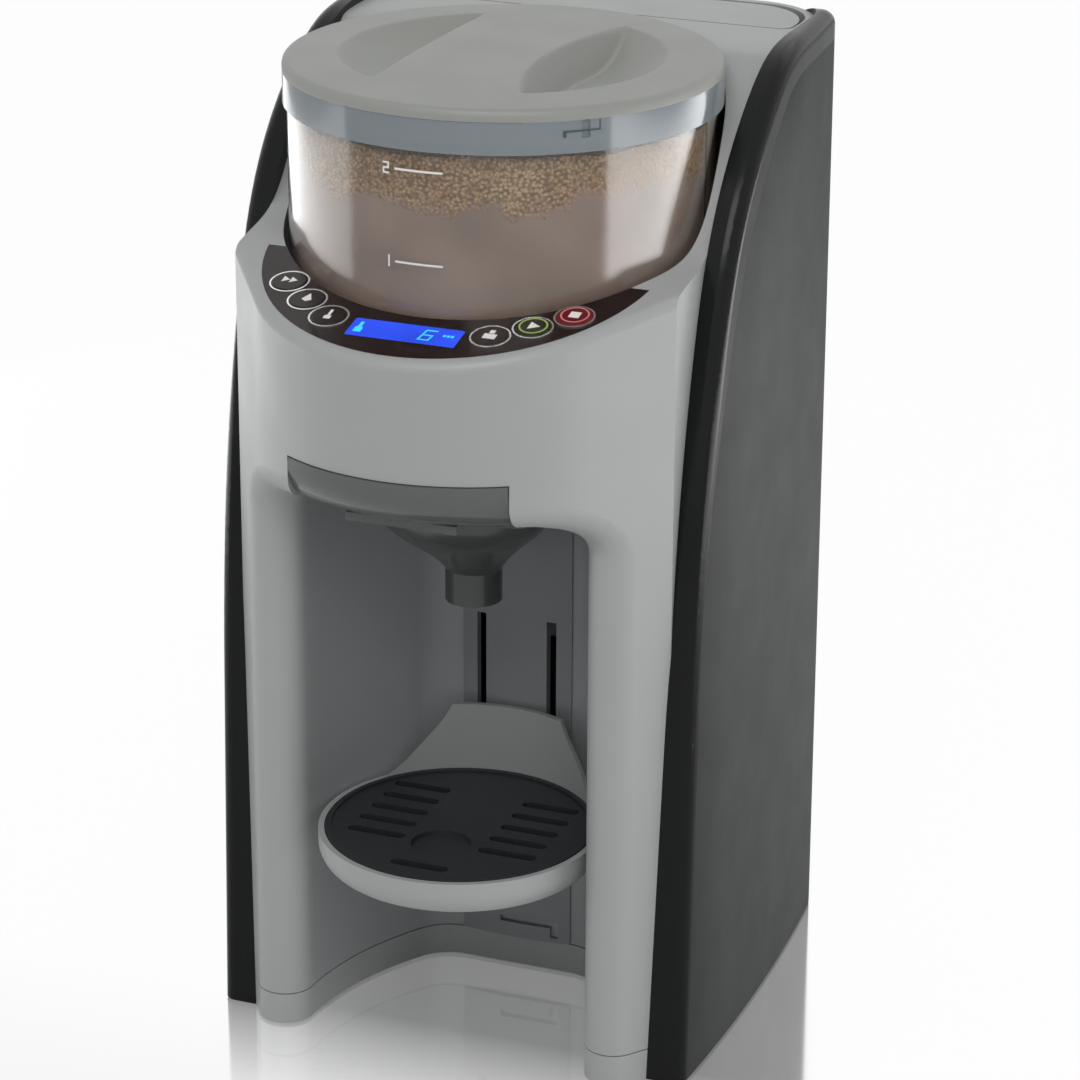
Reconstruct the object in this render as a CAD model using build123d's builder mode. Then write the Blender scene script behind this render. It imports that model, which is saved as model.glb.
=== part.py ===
from build123d import *
from math import asin, atan, cos, radians, sin, sqrt, tan
import os

os.makedirs("parts", exist_ok=True)

# ---------------------------------------------------------------- driving sizes (mm)
BODY_HEIGHT = 350.0       # floor to the top of the side trims
CAN_R = 73.5              # powder container, outside
CAN_Y = -10.0             # axis of the container, its lid and its drive
LEDGE_WIDTH = 30.5        # control ledge, from the container to the front face
FRONT_R = 74.0            # rounded front of the housing
FRONT_ANGLE = 54.0        # half angle of that round front
CHEEK = 6.5               # housing beside the container
SIDE_THICK = 10.0         # side panel, from the housing to its outer face
SIDE_TAPER = 8.1          # how far the bulging side panels fall in towards the rear
SIDE_EDGE_R = 5.0         # rounded edge of the side trims
TRIM_WIDTHS = (3.2, 5.5, 9.8, 12.5, 13.0, 12.0, 11.0)  # gloss band, from foot to top
PANEL_WALL = 3.0
SKIN = 2.6                # moulded wall of the large covers
LINER_WALL = 2.0
TANK_DEPTH = 31.6         # water tank, front to back
REAR_CORNER_R = 24.0      # rear corners, in plan and from the side
DECK_RIM_H = 21.0         # depth of the silver rim around the tank lid
DECK_CORNER_R = 28.0

HEAD_HEIGHT = 137.0       # bay ceiling to the top of the trims
CAN_DROP = 88.0           # container floor below the top of the trims
LEDGE_SLOPE = 0.235       # fall of the control ledge towards the front
DECK_STEP = 3.0           # deck below the top of the trims
FOOT_H = 0.8
SEAM_Z = 12.6             # seam between base and housing
SEAM_GAP = 0.4

BAY_HALF_FRONT = 53.1     # half width of the bottle bay at its mouth
BAY_SIDE_R = 115.5        # its side walls close in along arcs towards the back
BAY_SIDE_Y = -65.4        # where those arcs start
BAY_BACK_Y = 4.6
BAY_CORNER_R = 17.0
BAY_ARCH_R = 16.0
MOUTH_FILLET = 10.0
SHOULDER_R = 4.0          # rounded front edge of the control ledge
LINER_FRONT_Y = -60.0     # where the liner meets the rounded mouth

SPOUT_Y = -37.0           # powder outlet, funnel spout and bottle axis
SPOUT_R = 10.0
SPOUT_DROP = 51.0         # spout tip below the bay ceiling
FUNNEL_WALL = 1.6
VISOR_HALF = 39.5
VISOR_RISE = 17.4         # top edge of the visor above the bay ceiling
VISOR_THICK = 2.2
VISOR_PROUD = 0.6         # visor in front of the lintel it lies on

TRAY_Z = 81.3             # top of the tray grille
TRAY_Y = -50.0
TRAY_R = 50.0
TRAY_RIM = 2.1            # raised rim around the grille
TRAY_WALL_H = 25.0        # rear wall of the tray above the grille
TRAY_DEPTH = 14.0
TRAY_DOWN = 45.0          # travel of the tray below its middle place
TRAY_UP = 40.0

PANEL_R = 70.0            # outer edge of the control panel
PANEL_GAP = 1.6           # panel to the container
PANEL_END_Y = -52.0
PANEL_THICK = 1.6
BUTTON_R = 6.1
BUTTON_TRAVEL = 1.0
BUTTON_RING = [(8.3, 38.7), (10.2, 28.8), (13.1, 19.4)]  # beyond the container, degrees
DISPLAY_W = 38.8
DISPLAY_H = 10.8
DISPLAY_REACH = 11.8      # display's middle, beyond the container

RUN_GAP = 0.1             # running fit, radial
FREE_GAP = 0.3            # loose fit between separate pieces
REAR_LAP = 3.0            # rear cover beyond the start of the rear corners

# ---------------------------------------------------------------- derived places
CORE_HALF = CAN_R + CHEEK
HALF_WIDTH = CORE_HALF + SIDE_THICK
FRONT_Y = CAN_Y - CAN_R - LEDGE_WIDTH
FRONT_CY = FRONT_Y + FRONT_R
BAY_TOP_Z = BODY_HEIGHT - HEAD_HEIGHT
DECK_Z = BODY_HEIGHT - DECK_STEP
CAN_FLOOR_Z = BODY_HEIGHT - CAN_DROP
BAND_R = CAN_R + 1.5                  # frosted band around the container's rim
CAN_HOLE_R = BAND_R + 0.4
TANK_WALL_Y = CAN_Y + CAN_R + 5.0
TANK_FRONT_Y = TANK_WALL_Y + 2.3
TANK_REAR_Y = TANK_FRONT_Y + TANK_DEPTH
DECK_REAR_Y = TANK_REAR_Y + 5.6
REAR_Y = DECK_REAR_Y + 5.2
SOCKET_LIP = 0.8                      # rims of the mains inlet and the switch
TANK_HALF = CORE_HALF - 5.5
LEDGE_Z = BODY_HEIGHT - 77.3          # ledge plane above FRONT_Y + 4
LEDGE_Y = FRONT_Y + 4.0
REAR_GAP_X = HALF_WIDTH - SIDE_TAPER - REAR_CORNER_R + REAR_LAP  # half width of rear cover
GRILLE_R = TRAY_R - TRAY_RIM - FREE_GAP
DISPLAY_Y = CAN_Y - CAN_R - DISPLAY_REACH
BUTTON_SPOTS = [
    ((CAN_R + reach) * sin(radians(turn)), CAN_Y - (CAN_R + reach) * cos(radians(turn)))
    for reach, turn in BUTTON_RING
]
VALVE_X = -44.0                       # tank outlet and the hose below it
INLET_HOSE_Z = 21.0


def ledge_z(y):
    """Height of the sloping control ledge at y."""
    return LEDGE_Z + LEDGE_SLOPE * (y - LEDGE_Y)


LEDGE = Plane(
    origin=(0, DISPLAY_Y, ledge_z(DISPLAY_Y)),
    x_dir=(1, 0, 0),
    z_dir=(0, -LEDGE_SLOPE, 1),
)
LEDGE_TILT = atan(LEDGE_SLOPE)


def on_ledge(x, y):
    """Place on the ledge plane that lies above (x, y)."""
    return (x, (y - DISPLAY_Y) / cos(LEDGE_TILT))


def finish(piece, name):
    """Label a finished sub-part and write its file."""
    piece.part.label = name
    export_step(piece.part, "parts/" + name + ".step")


# ---------------------------------------------------------------- shared outlines
def core_outline(inset=0.0, rear_y=DECK_REAR_Y, rear_r=DECK_CORNER_R):
    """Plan of the silver housing: round front, straight sides, rounded rear corners."""
    a = radians(FRONT_ANGLE)
    arc_x = FRONT_R * sin(a)
    arc_y = FRONT_CY - FRONT_R * cos(a)
    side_y = arc_y + (CORE_HALF - arc_x) * tan(a)
    with BuildSketch() as plan:
        with BuildLine():
            ThreePointArc((-arc_x, arc_y), (0, FRONT_Y), (arc_x, arc_y))
            Line((arc_x, arc_y), (CORE_HALF, side_y))
            Line((CORE_HALF, side_y), (CORE_HALF, rear_y))
            Line((CORE_HALF, rear_y), (-CORE_HALF, rear_y))
            Line((-CORE_HALF, rear_y), (-CORE_HALF, side_y))
            Line((-CORE_HALF, side_y), (-arc_x, arc_y))
        make_face()
        if rear_r > 0:
            fillet(plan.vertices().group_by(Axis.Y)[-1], rear_r)
        if inset:
            offset(amount=-inset, kind=Kind.INTERSECTION)
    return plan.sketch


def silver_profile(back=0.0, drop=0.0):
    """Side view (y, z) of the housing under its S-shaped top: ledge, cheek and deck."""
    top = BODY_HEIGHT - drop
    ledge_end = PANEL_END_Y + 2
    with BuildSketch() as side:
        with BuildLine():
            low = (FRONT_Y - 10, ledge_z(FRONT_Y - 10) - drop)
            high = (ledge_end + back, ledge_z(ledge_end) - drop)
            Line(low, high)
            Spline(
                high,
                (CAN_Y - 17 + back, top - 57.5),
                (CAN_Y - 7 + back, top - 49.5),
                (CAN_Y + 7 + back, top - 31),
                (CAN_Y + 23 + back, top - 17),
                (CAN_Y + 42 + back, top - 7.3),
                (CAN_Y + 68 + back, top - DECK_STEP),
                tangents=[(1, LEDGE_SLOPE), (1, 0)],
            )
            Line((CAN_Y + 68 + back, top - DECK_STEP), (REAR_Y + 20, top - DECK_STEP))
            Line((REAR_Y + 20, top - DECK_STEP), (REAR_Y + 20, -10))
            Line((REAR_Y + 20, -10), (FRONT_Y - 10, -10))
            Line((FRONT_Y - 10, -10), low)
        make_face()
    return side.sketch


def core_block(inset, back, drop, rear_y=DECK_REAR_Y, rear_r=DECK_CORNER_R, low=SEAM_Z):
    """Solid of the silver housing, inset for the inside of its wall."""
    with BuildPart() as block:
        with BuildSketch(Plane.XY.offset(low)):
            add(core_outline(inset, rear_y, rear_r))
        extrude(amount=BODY_HEIGHT)
        with BuildSketch(Plane.YZ):
            add(silver_profile(back, drop))
        extrude(amount=HALF_WIDTH + 20, both=True, mode=Mode.INTERSECT)
    return block.part


def bay_block(grow, low=-1.0, front_y=FRONT_Y - 10):
    """Solid of the space that the bottle stands in, grown for the liner around it."""
    half = BAY_HALF_FRONT + grow
    radius = BAY_SIDE_R + grow
    arc_x = BAY_HALF_FRONT - BAY_SIDE_R
    back_y = BAY_BACK_Y + grow
    turn = asin((back_y - BAY_SIDE_Y) / radius)
    end_x = arc_x + radius * cos(turn)
    mid_x = arc_x + radius * cos(turn / 2)
    mid_y = BAY_SIDE_Y + radius * sin(turn / 2)
    with BuildPart() as block:
        with BuildSketch(Plane.XY.offset(low)) as plan:
            with BuildLine():
                Line((-half, front_y), (half, front_y))
                Line((half, front_y), (half, BAY_SIDE_Y))
                ThreePointArc((half, BAY_SIDE_Y), (mid_x, mid_y), (end_x, back_y))
                Line((end_x, back_y), (-end_x, back_y))
                ThreePointArc((-end_x, back_y), (-mid_x, mid_y), (-half, BAY_SIDE_Y))
                Line((-half, BAY_SIDE_Y), (-half, front_y))
            make_face()
            fillet(plan.vertices().group_by(Axis.Y)[-1], BAY_CORNER_R + grow)
        extrude(amount=BAY_TOP_Z + grow - low)
        rim = block.faces().sort_by(Axis.Z)[-1].edges()
        fillet(rim.filter_by(lambda e: e.center().Y > front_y + 1), BAY_ARCH_R + grow)
    return block.part


def crescent(outer, inner, end_y=PANEL_END_Y):
    """Plan of the control panel, between the round front and the container."""
    with BuildSketch() as plan:
        with Locations((0, FRONT_CY)):
            Circle(outer)
        with Locations((0, CAN_Y)):
            Circle(inner, mode=Mode.SUBTRACT)
        with Locations((0, end_y)):
            Rectangle(400, 400, align=(Align.CENTER, Align.MIN), mode=Mode.SUBTRACT)
    return plan.sketch


def ledge_slab(top, bottom):
    """Slab between two depths, measured from the ledge surface."""
    with BuildPart() as slab:
        with BuildSketch(LEDGE.offset(bottom)):
            Rectangle(400, 200)
        extrude(amount=top - bottom)
    return slab.part


def side_outline(inset=0.0):
    """Plan of the whole body over the side panels."""
    belly_y = CAN_Y - 3
    belly_r = ((REAR_Y - belly_y) ** 2 + SIDE_TAPER**2) / (2 * SIDE_TAPER)
    rear_x = HALF_WIDTH - SIDE_TAPER
    start_y = FRONT_Y + 20
    start_x = HALF_WIDTH - belly_r + sqrt(belly_r**2 - (start_y - belly_y) ** 2)
    with BuildSketch() as plan:
        with BuildLine():
            ThreePointArc((start_x, start_y), (HALF_WIDTH, belly_y), (rear_x, REAR_Y))
            Line((rear_x, REAR_Y), (-rear_x, REAR_Y))
            ThreePointArc((-rear_x, REAR_Y), (-HALF_WIDTH, belly_y), (-start_x, start_y))
            Line((-start_x, start_y), (start_x, start_y))
        make_face()
        fillet(plan.vertices().group_by(Axis.Y)[-1], REAR_CORNER_R)
        if inset:
            offset(amount=-inset, kind=Kind.INTERSECTION)
    return plan.sketch


def side_profile(trimmed=False, low=FOOT_H):
    """Side view (y, z) of a side panel: leaning front edge and S-shaped shoulder.

    Trimmed, its front and top lie inside the gloss band, and it runs out past the rear.
    """
    top = BODY_HEIGHT
    foot = Vector(CAN_Y - 52, FOOT_H)
    knots = [
        Vector(CAN_Y - 47.5, BAY_TOP_Z - 85),
        Vector(CAN_Y - 41.3, top - 150),
        Vector(CAN_Y - 29, top - 92),
        Vector(CAN_Y - 17, top - 58),
        Vector(CAN_Y + 2.5, top - 30),
        Vector(CAN_Y + 28.5, top - 9),
        Vector(CAN_Y + 66, top),
    ]
    before = [foot] + knots[:-1]
    after = knots[1:] + [knots[-1] + Vector(1, 0)]
    inward = [(b - a).normalized().rotate(Axis.Z, -90) for a, b in zip(before, after)]
    widths = TRIM_WIDTHS if trimmed else [0.0] * len(knots)
    edge = [knot + side * width for knot, side, width in zip(knots, inward, widths)]
    lean = knots[0] - foot
    foot = edge[0] - lean * ((edge[0].Y - low) / lean.Y)
    rear_y = REAR_Y + (20 if trimmed else 0)
    with BuildSketch() as side:
        with BuildLine():
            Line(foot, edge[0])
            Spline(*edge, tangents=[lean, (1, 0)])
            Polyline(edge[-1], (rear_y, edge[-1].Y), (rear_y, low), foot)
        make_face()
        if not trimmed:
            fillet(side.vertices().sort_by(lambda v: -v.X - v.Y)[0], REAR_CORNER_R)
    return side.sketch


def side_block(plan_inset, trimmed, sign, low=FOOT_H):
    """Solid between the housing and one side panel's outside."""
    core = core_outline(0.0)
    with BuildPart() as block:
        with BuildSketch():
            add(side_outline(plan_inset))
            add(core, mode=Mode.SUBTRACT)
            Rectangle(2 * REAR_GAP_X, 400, mode=Mode.SUBTRACT)
            with Locations((-sign * 200, 0)):
                Rectangle(400, 500, mode=Mode.SUBTRACT)
        extrude(amount=BODY_HEIGHT + 20)
        with BuildSketch(Plane.YZ):
            add(side_profile(trimmed, low))
        extrude(amount=HALF_WIDTH + 20, both=True, mode=Mode.INTERSECT)
    return block.part


# ---------------------------------------------------------------- housing, base and shell
bay_space = bay_block(0.0)
bay_grown = bay_block(LINER_WALL)
LIP = 13.0                            # solid rim around the mouth of the bay
LINTEL_H = VISOR_RISE + 4.0           # solid rim above the mouth, behind the visor
SCREW_SPOTS = [(sx * (CORE_HALF - SKIN - 4.4), y) for sx in (-1, 1) for y in (-30, 34, 60)]
FOOT_SPOTS = [(sx * 66.0, y) for sx in (-1, 1) for y in (-46, 16, 84)]
FOOT_R = 6.5
FOOT_SINK = 1.4                       # pocket of each foot in the base plate
PLATE_TOP_Z = FOOT_H + 2.6


def below(z):
    """Everything under a level, to split the housing at its seam."""
    with BuildPart() as half:
        with Locations((0, 0, z)):
            Box(400, 400, 400, align=(Align.CENTER, Align.CENTER, Align.MAX))
    return half.part


with BuildPart() as housing:
    add(core_block(0.0, 0.0, 0.0, low=FOOT_H))
    add(bay_space, mode=Mode.SUBTRACT)
    mouth = housing.edges().filter_by(
        lambda e: e.center().Y < FRONT_Y + 24
        and abs(e.center().X) < BAY_HALF_FRONT + 3
        and FOOT_H + 5 < e.center().Z < BAY_TOP_Z + 1
    )
    fillet(mouth, MOUTH_FILLET)
    shoulder = housing.edges().filter_by(
        lambda e: e.center().Y < FRONT_CY - 18
        and e.center().Z > BAY_TOP_Z + 40
        and e.bounding_box().size.Z < 16
    )
    fillet(shoulder, SHOULDER_R)

with BuildPart() as mouth_rim:
    with Locations((0, LINER_FRONT_Y, 0)):
        Box(
            2 * (BAY_HALF_FRONT + LIP),
            80,
            2 * (BAY_TOP_Z + LINTEL_H),
            align=(Align.CENTER, Align.MAX, Align.CENTER),
        )
seam_cut = below(SEAM_Z)
base_cut = below(SEAM_Z - SEAM_GAP)

with BuildPart() as base_space:
    with BuildSketch(Plane.XY.offset(FOOT_H)):
        add(core_outline(SKIN))
        with Locations((0, LINER_FRONT_Y)):
            Rectangle(400, 400, align=(Align.CENTER, Align.MAX), mode=Mode.SUBTRACT)
    extrude(amount=SEAM_Z - FOOT_H)
    add(bay_block(SKIN), mode=Mode.SUBTRACT)

with BuildPart() as base_housing:
    add(housing.part)
    add(base_cut, mode=Mode.INTERSECT)
    add(base_space.part, mode=Mode.SUBTRACT)
    with BuildSketch(Plane.XY.offset(PLATE_TOP_Z)):
        with Locations(*SCREW_SPOTS):
            Rectangle(9.4, 9)
            Circle(1.5, mode=Mode.SUBTRACT)
    extrude(amount=SEAM_Z - SEAM_GAP - PLATE_TOP_Z)
finish(base_housing, "base_housing")

with BuildPart() as base_plate:
    with BuildSketch(Plane.XY.offset(FOOT_H)):
        add(core_outline(SKIN + RUN_GAP))
        with Locations((0, LINER_FRONT_Y + RUN_GAP)):
            Rectangle(400, 400, align=(Align.CENTER, Align.MAX), mode=Mode.SUBTRACT)
    extrude(amount=PLATE_TOP_Z - FOOT_H)
    add(bay_block(SKIN + RUN_GAP), mode=Mode.SUBTRACT)
    with BuildSketch(Plane.XY.offset(FOOT_H)):
        with Locations(*SCREW_SPOTS):
            Circle(3.2)
        with Locations(*FOOT_SPOTS):
            Circle(FOOT_R + RUN_GAP)
    extrude(amount=FOOT_SINK, mode=Mode.SUBTRACT)
    with BuildSketch(Plane.XY.offset(FOOT_H)):
        with Locations(*SCREW_SPOTS):
            Circle(1.6)
        with Locations((0, 60)):
            with GridLocations(9, 6, 5, 1):
                SlotOverall(26, 3, rotation=90)
    extrude(amount=PLATE_TOP_Z - FOOT_H, mode=Mode.SUBTRACT)
finish(base_plate, "base_plate")

with BuildPart() as feet:
    with BuildSketch():
        with Locations(*FOOT_SPOTS):
            Circle(FOOT_R)
    extrude(amount=FOOT_H + FOOT_SINK)
    chamfer(feet.faces().filter_by(Axis.Z).group_by(Axis.Z)[0].edges(), 0.3)
finish(feet, "feet")

with BuildPart() as base_screws:
    with BuildSketch(Plane.XY.offset(FOOT_H)):
        with Locations(*SCREW_SPOTS):
            Circle(3.0)
    extrude(amount=1.4)
    with BuildSketch(Plane.XY.offset(FOOT_H + 1.4)):
        with Locations(*SCREW_SPOTS):
            Circle(1.5)
    extrude(amount=7.5)
    with BuildSketch(Plane.XY.offset(FOOT_H)):
        with Locations(*SCREW_SPOTS):
            Rectangle(3.6, 0.8)
            Rectangle(0.8, 3.6)
    extrude(amount=0.8, mode=Mode.SUBTRACT)
finish(base_screws, "base_screws")

# ---------------------------------------------------------------- front shell
VISOR_TOP_Z = BAY_TOP_Z + VISOR_RISE
LID_HOLE_HALF = TANK_HALF + 1.0
LID_SWING = 2.2                       # room behind the tank lid as it tips up
LID_HOLE_R = DECK_CORNER_R - 6.5      # and at its rear corners

shell_space = core_block(SKIN, 1.6, 2.2, rear_y=TANK_WALL_Y, rear_r=0.0, low=SEAM_Z - 1)
with BuildPart() as panel_recess:
    with BuildSketch(Plane.XY.offset(BAY_TOP_Z)):
        add(crescent(PANEL_R + RUN_GAP, CAN_R - 5, PANEL_END_Y + RUN_GAP))
    extrude(amount=HEAD_HEIGHT)
    add(ledge_slab(10, -PANEL_THICK), mode=Mode.INTERSECT)


def ledge_holes(radius, top, bottom, display_grow):
    """Round holes for the buttons and a window for the display, through the ledge."""
    with BuildPart() as holes:
        with BuildSketch(LEDGE.offset(bottom)):
            for x, y in BUTTON_SPOTS:
                with Locations(on_ledge(x, y), on_ledge(-x, y)):
                    Circle(radius)
            Rectangle(DISPLAY_W + display_grow, DISPLAY_H + display_grow)
        extrude(amount=top - bottom)
    return holes.part


front_holes = ledge_holes(BUTTON_R + FREE_GAP, 2, -6, -3)


def lintel_loft(half, section):
    """Loft of a side view that stays upright along the round front."""
    with BuildPart() as loft_part:
        for i in range(7):
            x = half * (i / 3 - 1)
            face_y = FRONT_CY - sqrt(FRONT_R**2 - x**2)
            with BuildSketch(Plane.YZ.offset(x)):
                with Locations((face_y + VISOR_RISE, VISOR_TOP_Z)):
                    add(section)
        loft()
    return loft_part.part


VISOR_OUTER_R = VISOR_RISE + VISOR_PROUD
VISOR_INNER_R = VISOR_OUTER_R - VISOR_THICK
POCKET_R = VISOR_INNER_R - FREE_GAP
POCKET_REACH = 20.0                   # how far the pocket's cutter stands out in front
POCKET_DROP = 5.0
with BuildSketch() as pocket_section:
    with BuildLine():
        CenterArc((0, 0), POCKET_R, 180, 90)
        Polyline(
            (0, -POCKET_R),
            (FREE_GAP, -POCKET_R),
            (FREE_GAP, -POCKET_R - POCKET_DROP),
            (-POCKET_R - POCKET_REACH, -POCKET_R - POCKET_DROP),
            (-POCKET_R - POCKET_REACH, FREE_GAP),
            (-POCKET_R, FREE_GAP),
            (-POCKET_R, 0),
        )
    make_face()
visor_room = lintel_loft(VISOR_HALF + FREE_GAP, pocket_section.sketch)

with BuildPart() as front_shell:
    add(housing.part)
    add(seam_cut, mode=Mode.SUBTRACT)
    with Locations((0, TANK_WALL_Y, 0)):
        Box(
            300,
            100,
            2 * (DECK_Z - DECK_RIM_H),
            align=(Align.CENTER, Align.MIN, Align.CENTER),
            mode=Mode.SUBTRACT,
        )
    add(shell_space - mouth_rim.part, mode=Mode.SUBTRACT)
    with Locations((0, CAN_Y, BAY_TOP_Z + 30)):
        Cylinder(
            CAN_HOLE_R,
            HEAD_HEIGHT,
            align=(Align.CENTER, Align.CENTER, Align.MIN),
            mode=Mode.SUBTRACT,
        )
    add(panel_recess.part, mode=Mode.SUBTRACT)
    add(front_holes, mode=Mode.SUBTRACT)
    with Locations((VALVE_X, TANK_WALL_Y, INLET_HOSE_Z)):
        Box(12, 3 * SKIN, 12, mode=Mode.SUBTRACT)
    with BuildSketch(Plane.XY.offset(DECK_Z - DECK_RIM_H - 1)) as lid_hole:
        with Locations((0, (TANK_WALL_Y + 1.2 + TANK_REAR_Y + LID_SWING) / 2)):
            Rectangle(2 * LID_HOLE_HALF, TANK_REAR_Y + LID_SWING - TANK_WALL_Y - 1.2)
        fillet(lid_hole.vertices().group_by(Axis.Y)[-1], LID_HOLE_R)
        fillet(lid_hole.vertices().group_by(Axis.Y)[0], 5)
    extrude(amount=DECK_RIM_H + 10, mode=Mode.SUBTRACT)
    add(visor_room, mode=Mode.SUBTRACT)
finish(front_shell, "front_shell")

# ---------------------------------------------------------------- bottle bay
HOOK_X = 13.5
HOOK_W = 3.0
HOOK_Z = TRAY_Z + 12.0
HOOK_H = 6.0
PLATE_THICK = 2.2
PLATE_CROWN = 1.4                     # rise of the plate's face towards its middle
PLATE_HALF = 21.0
PLATE_TOP = BAY_TOP_Z - 12.0
RAIL_LIP_Z = BAY_TOP_Z - 5.5
FLANGE_BACK_Y = BAY_BACK_Y - 14.0
RAIL_LENGTH = FLANGE_BACK_Y - 12.0 - LINER_FRONT_Y
FLANGE_HALF = 36.5
CHUTE_R = 9.5
NOZZLE_SPOT = (16.0, SPOUT_Y + 15.0)
NOZZLE_R = 4.0


def hook_slots(depth_y, grow=0.0):
    """Two upright slots that the hooks of the tray slide in."""
    low = HOOK_Z - TRAY_DOWN - FREE_GAP - grow
    high = HOOK_Z + HOOK_H + TRAY_UP + FREE_GAP + grow
    with BuildPart() as slots:
        for sign in (-1, 1):
            with Locations((sign * HOOK_X, depth_y, (low + high) / 2)):
                Box(HOOK_W + 2 * FREE_GAP + 2 * grow, 12, high - low)
    return slots.part


tray_slots = hook_slots(BAY_BACK_Y)

with BuildPart() as bay_liner:
    add(bay_grown)
    with Locations((0, LINER_FRONT_Y, 0)):
        Box(
            300,
            100,
            1000,
            align=(Align.CENTER, Align.MAX, Align.CENTER),
            mode=Mode.SUBTRACT,
        )
    Box(300, 300, 2 * SEAM_Z, mode=Mode.SUBTRACT)
    add(bay_space, mode=Mode.SUBTRACT)
    add(tray_slots, mode=Mode.SUBTRACT)
    for sign in (-1, 1):
        with Locations((sign * (FLANGE_HALF + 0.4), LINER_FRONT_Y, BAY_TOP_Z + 0.5)):
            Box(
                2.4,
                RAIL_LENGTH,
                BAY_TOP_Z + 0.5 - RAIL_LIP_Z + 2,
                align=(Align.MIN if sign > 0 else Align.MAX, Align.MIN, Align.MAX),
            )
        with Locations((sign * (FLANGE_HALF - 2.0), LINER_FRONT_Y, RAIL_LIP_Z)):
            Box(
                3.0,
                RAIL_LENGTH,
                2.0,
                align=(Align.MIN if sign > 0 else Align.MAX, Align.MIN, Align.MAX),
            )
    with BuildSketch(Plane.XY.offset(BAY_TOP_Z - 1)):
        with Locations((0, SPOUT_Y)):
            Circle(CHUTE_R + FREE_GAP)
        with Locations(NOZZLE_SPOT):
            Circle(NOZZLE_R + RUN_GAP)
    extrude(amount=10, mode=Mode.SUBTRACT)
finish(bay_liner, "bay_liner")

with BuildPart() as back_plate:
    with BuildSketch(Plane.XY.offset(SEAM_Z)):
        with BuildLine():
            ThreePointArc(
                (-PLATE_HALF, BAY_BACK_Y - PLATE_THICK + PLATE_CROWN),
                (0, BAY_BACK_Y - PLATE_THICK),
                (PLATE_HALF, BAY_BACK_Y - PLATE_THICK + PLATE_CROWN),
            )
            Polyline(
                (PLATE_HALF, BAY_BACK_Y - PLATE_THICK + PLATE_CROWN),
                (PLATE_HALF, BAY_BACK_Y),
                (-PLATE_HALF, BAY_BACK_Y),
                (-PLATE_HALF, BAY_BACK_Y - PLATE_THICK + PLATE_CROWN),
            )
        make_face()
    extrude(amount=PLATE_TOP - SEAM_Z)
    add(bay_space, mode=Mode.INTERSECT)
    add(tray_slots, mode=Mode.SUBTRACT)
    with Locations((5, BAY_BACK_Y, 19.5)):
        Box(22, 12, 2.4, mode=Mode.SUBTRACT)
    with Locations((15, BAY_BACK_Y, 17.3)):
        Box(3, 12, 6.0, mode=Mode.SUBTRACT)
finish(back_plate, "back_plate")

# ---------------------------------------------------------------- side panels and trims
def is_outer_rim(edge):
    """True for the long front and top edges of a side panel's outer face."""
    box = edge.bounding_box()
    near = min(abs(box.min.X), abs(box.max.X))
    return near > CORE_HALF + 4 and box.size.Y > 4 and box.max.Z > FOOT_H + 5


for sign, hand in ((-1, "left"), (1, "right")):
    outer = side_block(0.0, False, sign)
    hollow = side_block(PANEL_WALL, True, sign, FOOT_H + PANEL_WALL)
    with BuildPart() as inner_zone:
        with BuildSketch(Plane.YZ):
            add(side_profile(True, -1.0))
        extrude(amount=HALF_WIDTH + 20, both=True)
    with BuildPart() as side_whole:
        add(outer)
        rim = side_whole.edges().filter_by(is_outer_rim)
        fillet(rim, SIDE_EDGE_R)
    with BuildPart() as side_trim:
        add(side_whole.part)
        add(inner_zone.part, mode=Mode.SUBTRACT)
    finish(side_trim, "side_trim_" + hand)
    with BuildPart() as side_panel:
        add(side_whole.part)
        add(inner_zone.part, mode=Mode.INTERSECT)
        add(hollow, mode=Mode.SUBTRACT)
        for y, z in ((-20, 60), (-20, 180), (50, 60), (50, 180), (50, 290)):
            with Locations((sign * CORE_HALF, y, z)):
                Cylinder(
                    4.0,
                    SIDE_THICK - PANEL_WALL,
                    rotation=(0, sign * 90, 0),
                    align=(Align.CENTER, Align.CENTER, Align.MIN),
                )
    finish(side_panel, "side_panel_" + hand)

# ---------------------------------------------------------------- control panel
panel_holes = ledge_holes(BUTTON_R + 0.2, 5, -6, 0.2)
with BuildPart() as control_panel:
    with BuildSketch(Plane.XY.offset(BAY_TOP_Z)):
        add(crescent(PANEL_R, CAN_R + PANEL_GAP))
    extrude(amount=HEAD_HEIGHT)
    add(ledge_slab(0, -PANEL_THICK), mode=Mode.INTERSECT)
    add(panel_holes, mode=Mode.SUBTRACT)
finish(control_panel, "control_panel")

with BuildPart() as display_window:
    with BuildSketch(LEDGE.offset(-PANEL_THICK)):
        RectangleRounded(DISPLAY_W, DISPLAY_H, 0.6)
    extrude(amount=PANEL_THICK + 0.1)
    chamfer(display_window.faces().sort_by(Axis.Z)[-1].edges(), 0.08)
finish(display_window, "display_window")

with BuildPart() as button_rings:
    with BuildSketch(LEDGE):
        for x, y in BUTTON_SPOTS:
            with Locations(on_ledge(x, y), on_ledge(-x, y)):
                Circle(BUTTON_R + 0.8)
                Circle(BUTTON_R + 0.2, mode=Mode.SUBTRACT)
    extrude(amount=0.4)
finish(button_rings, "button_rings")

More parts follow.
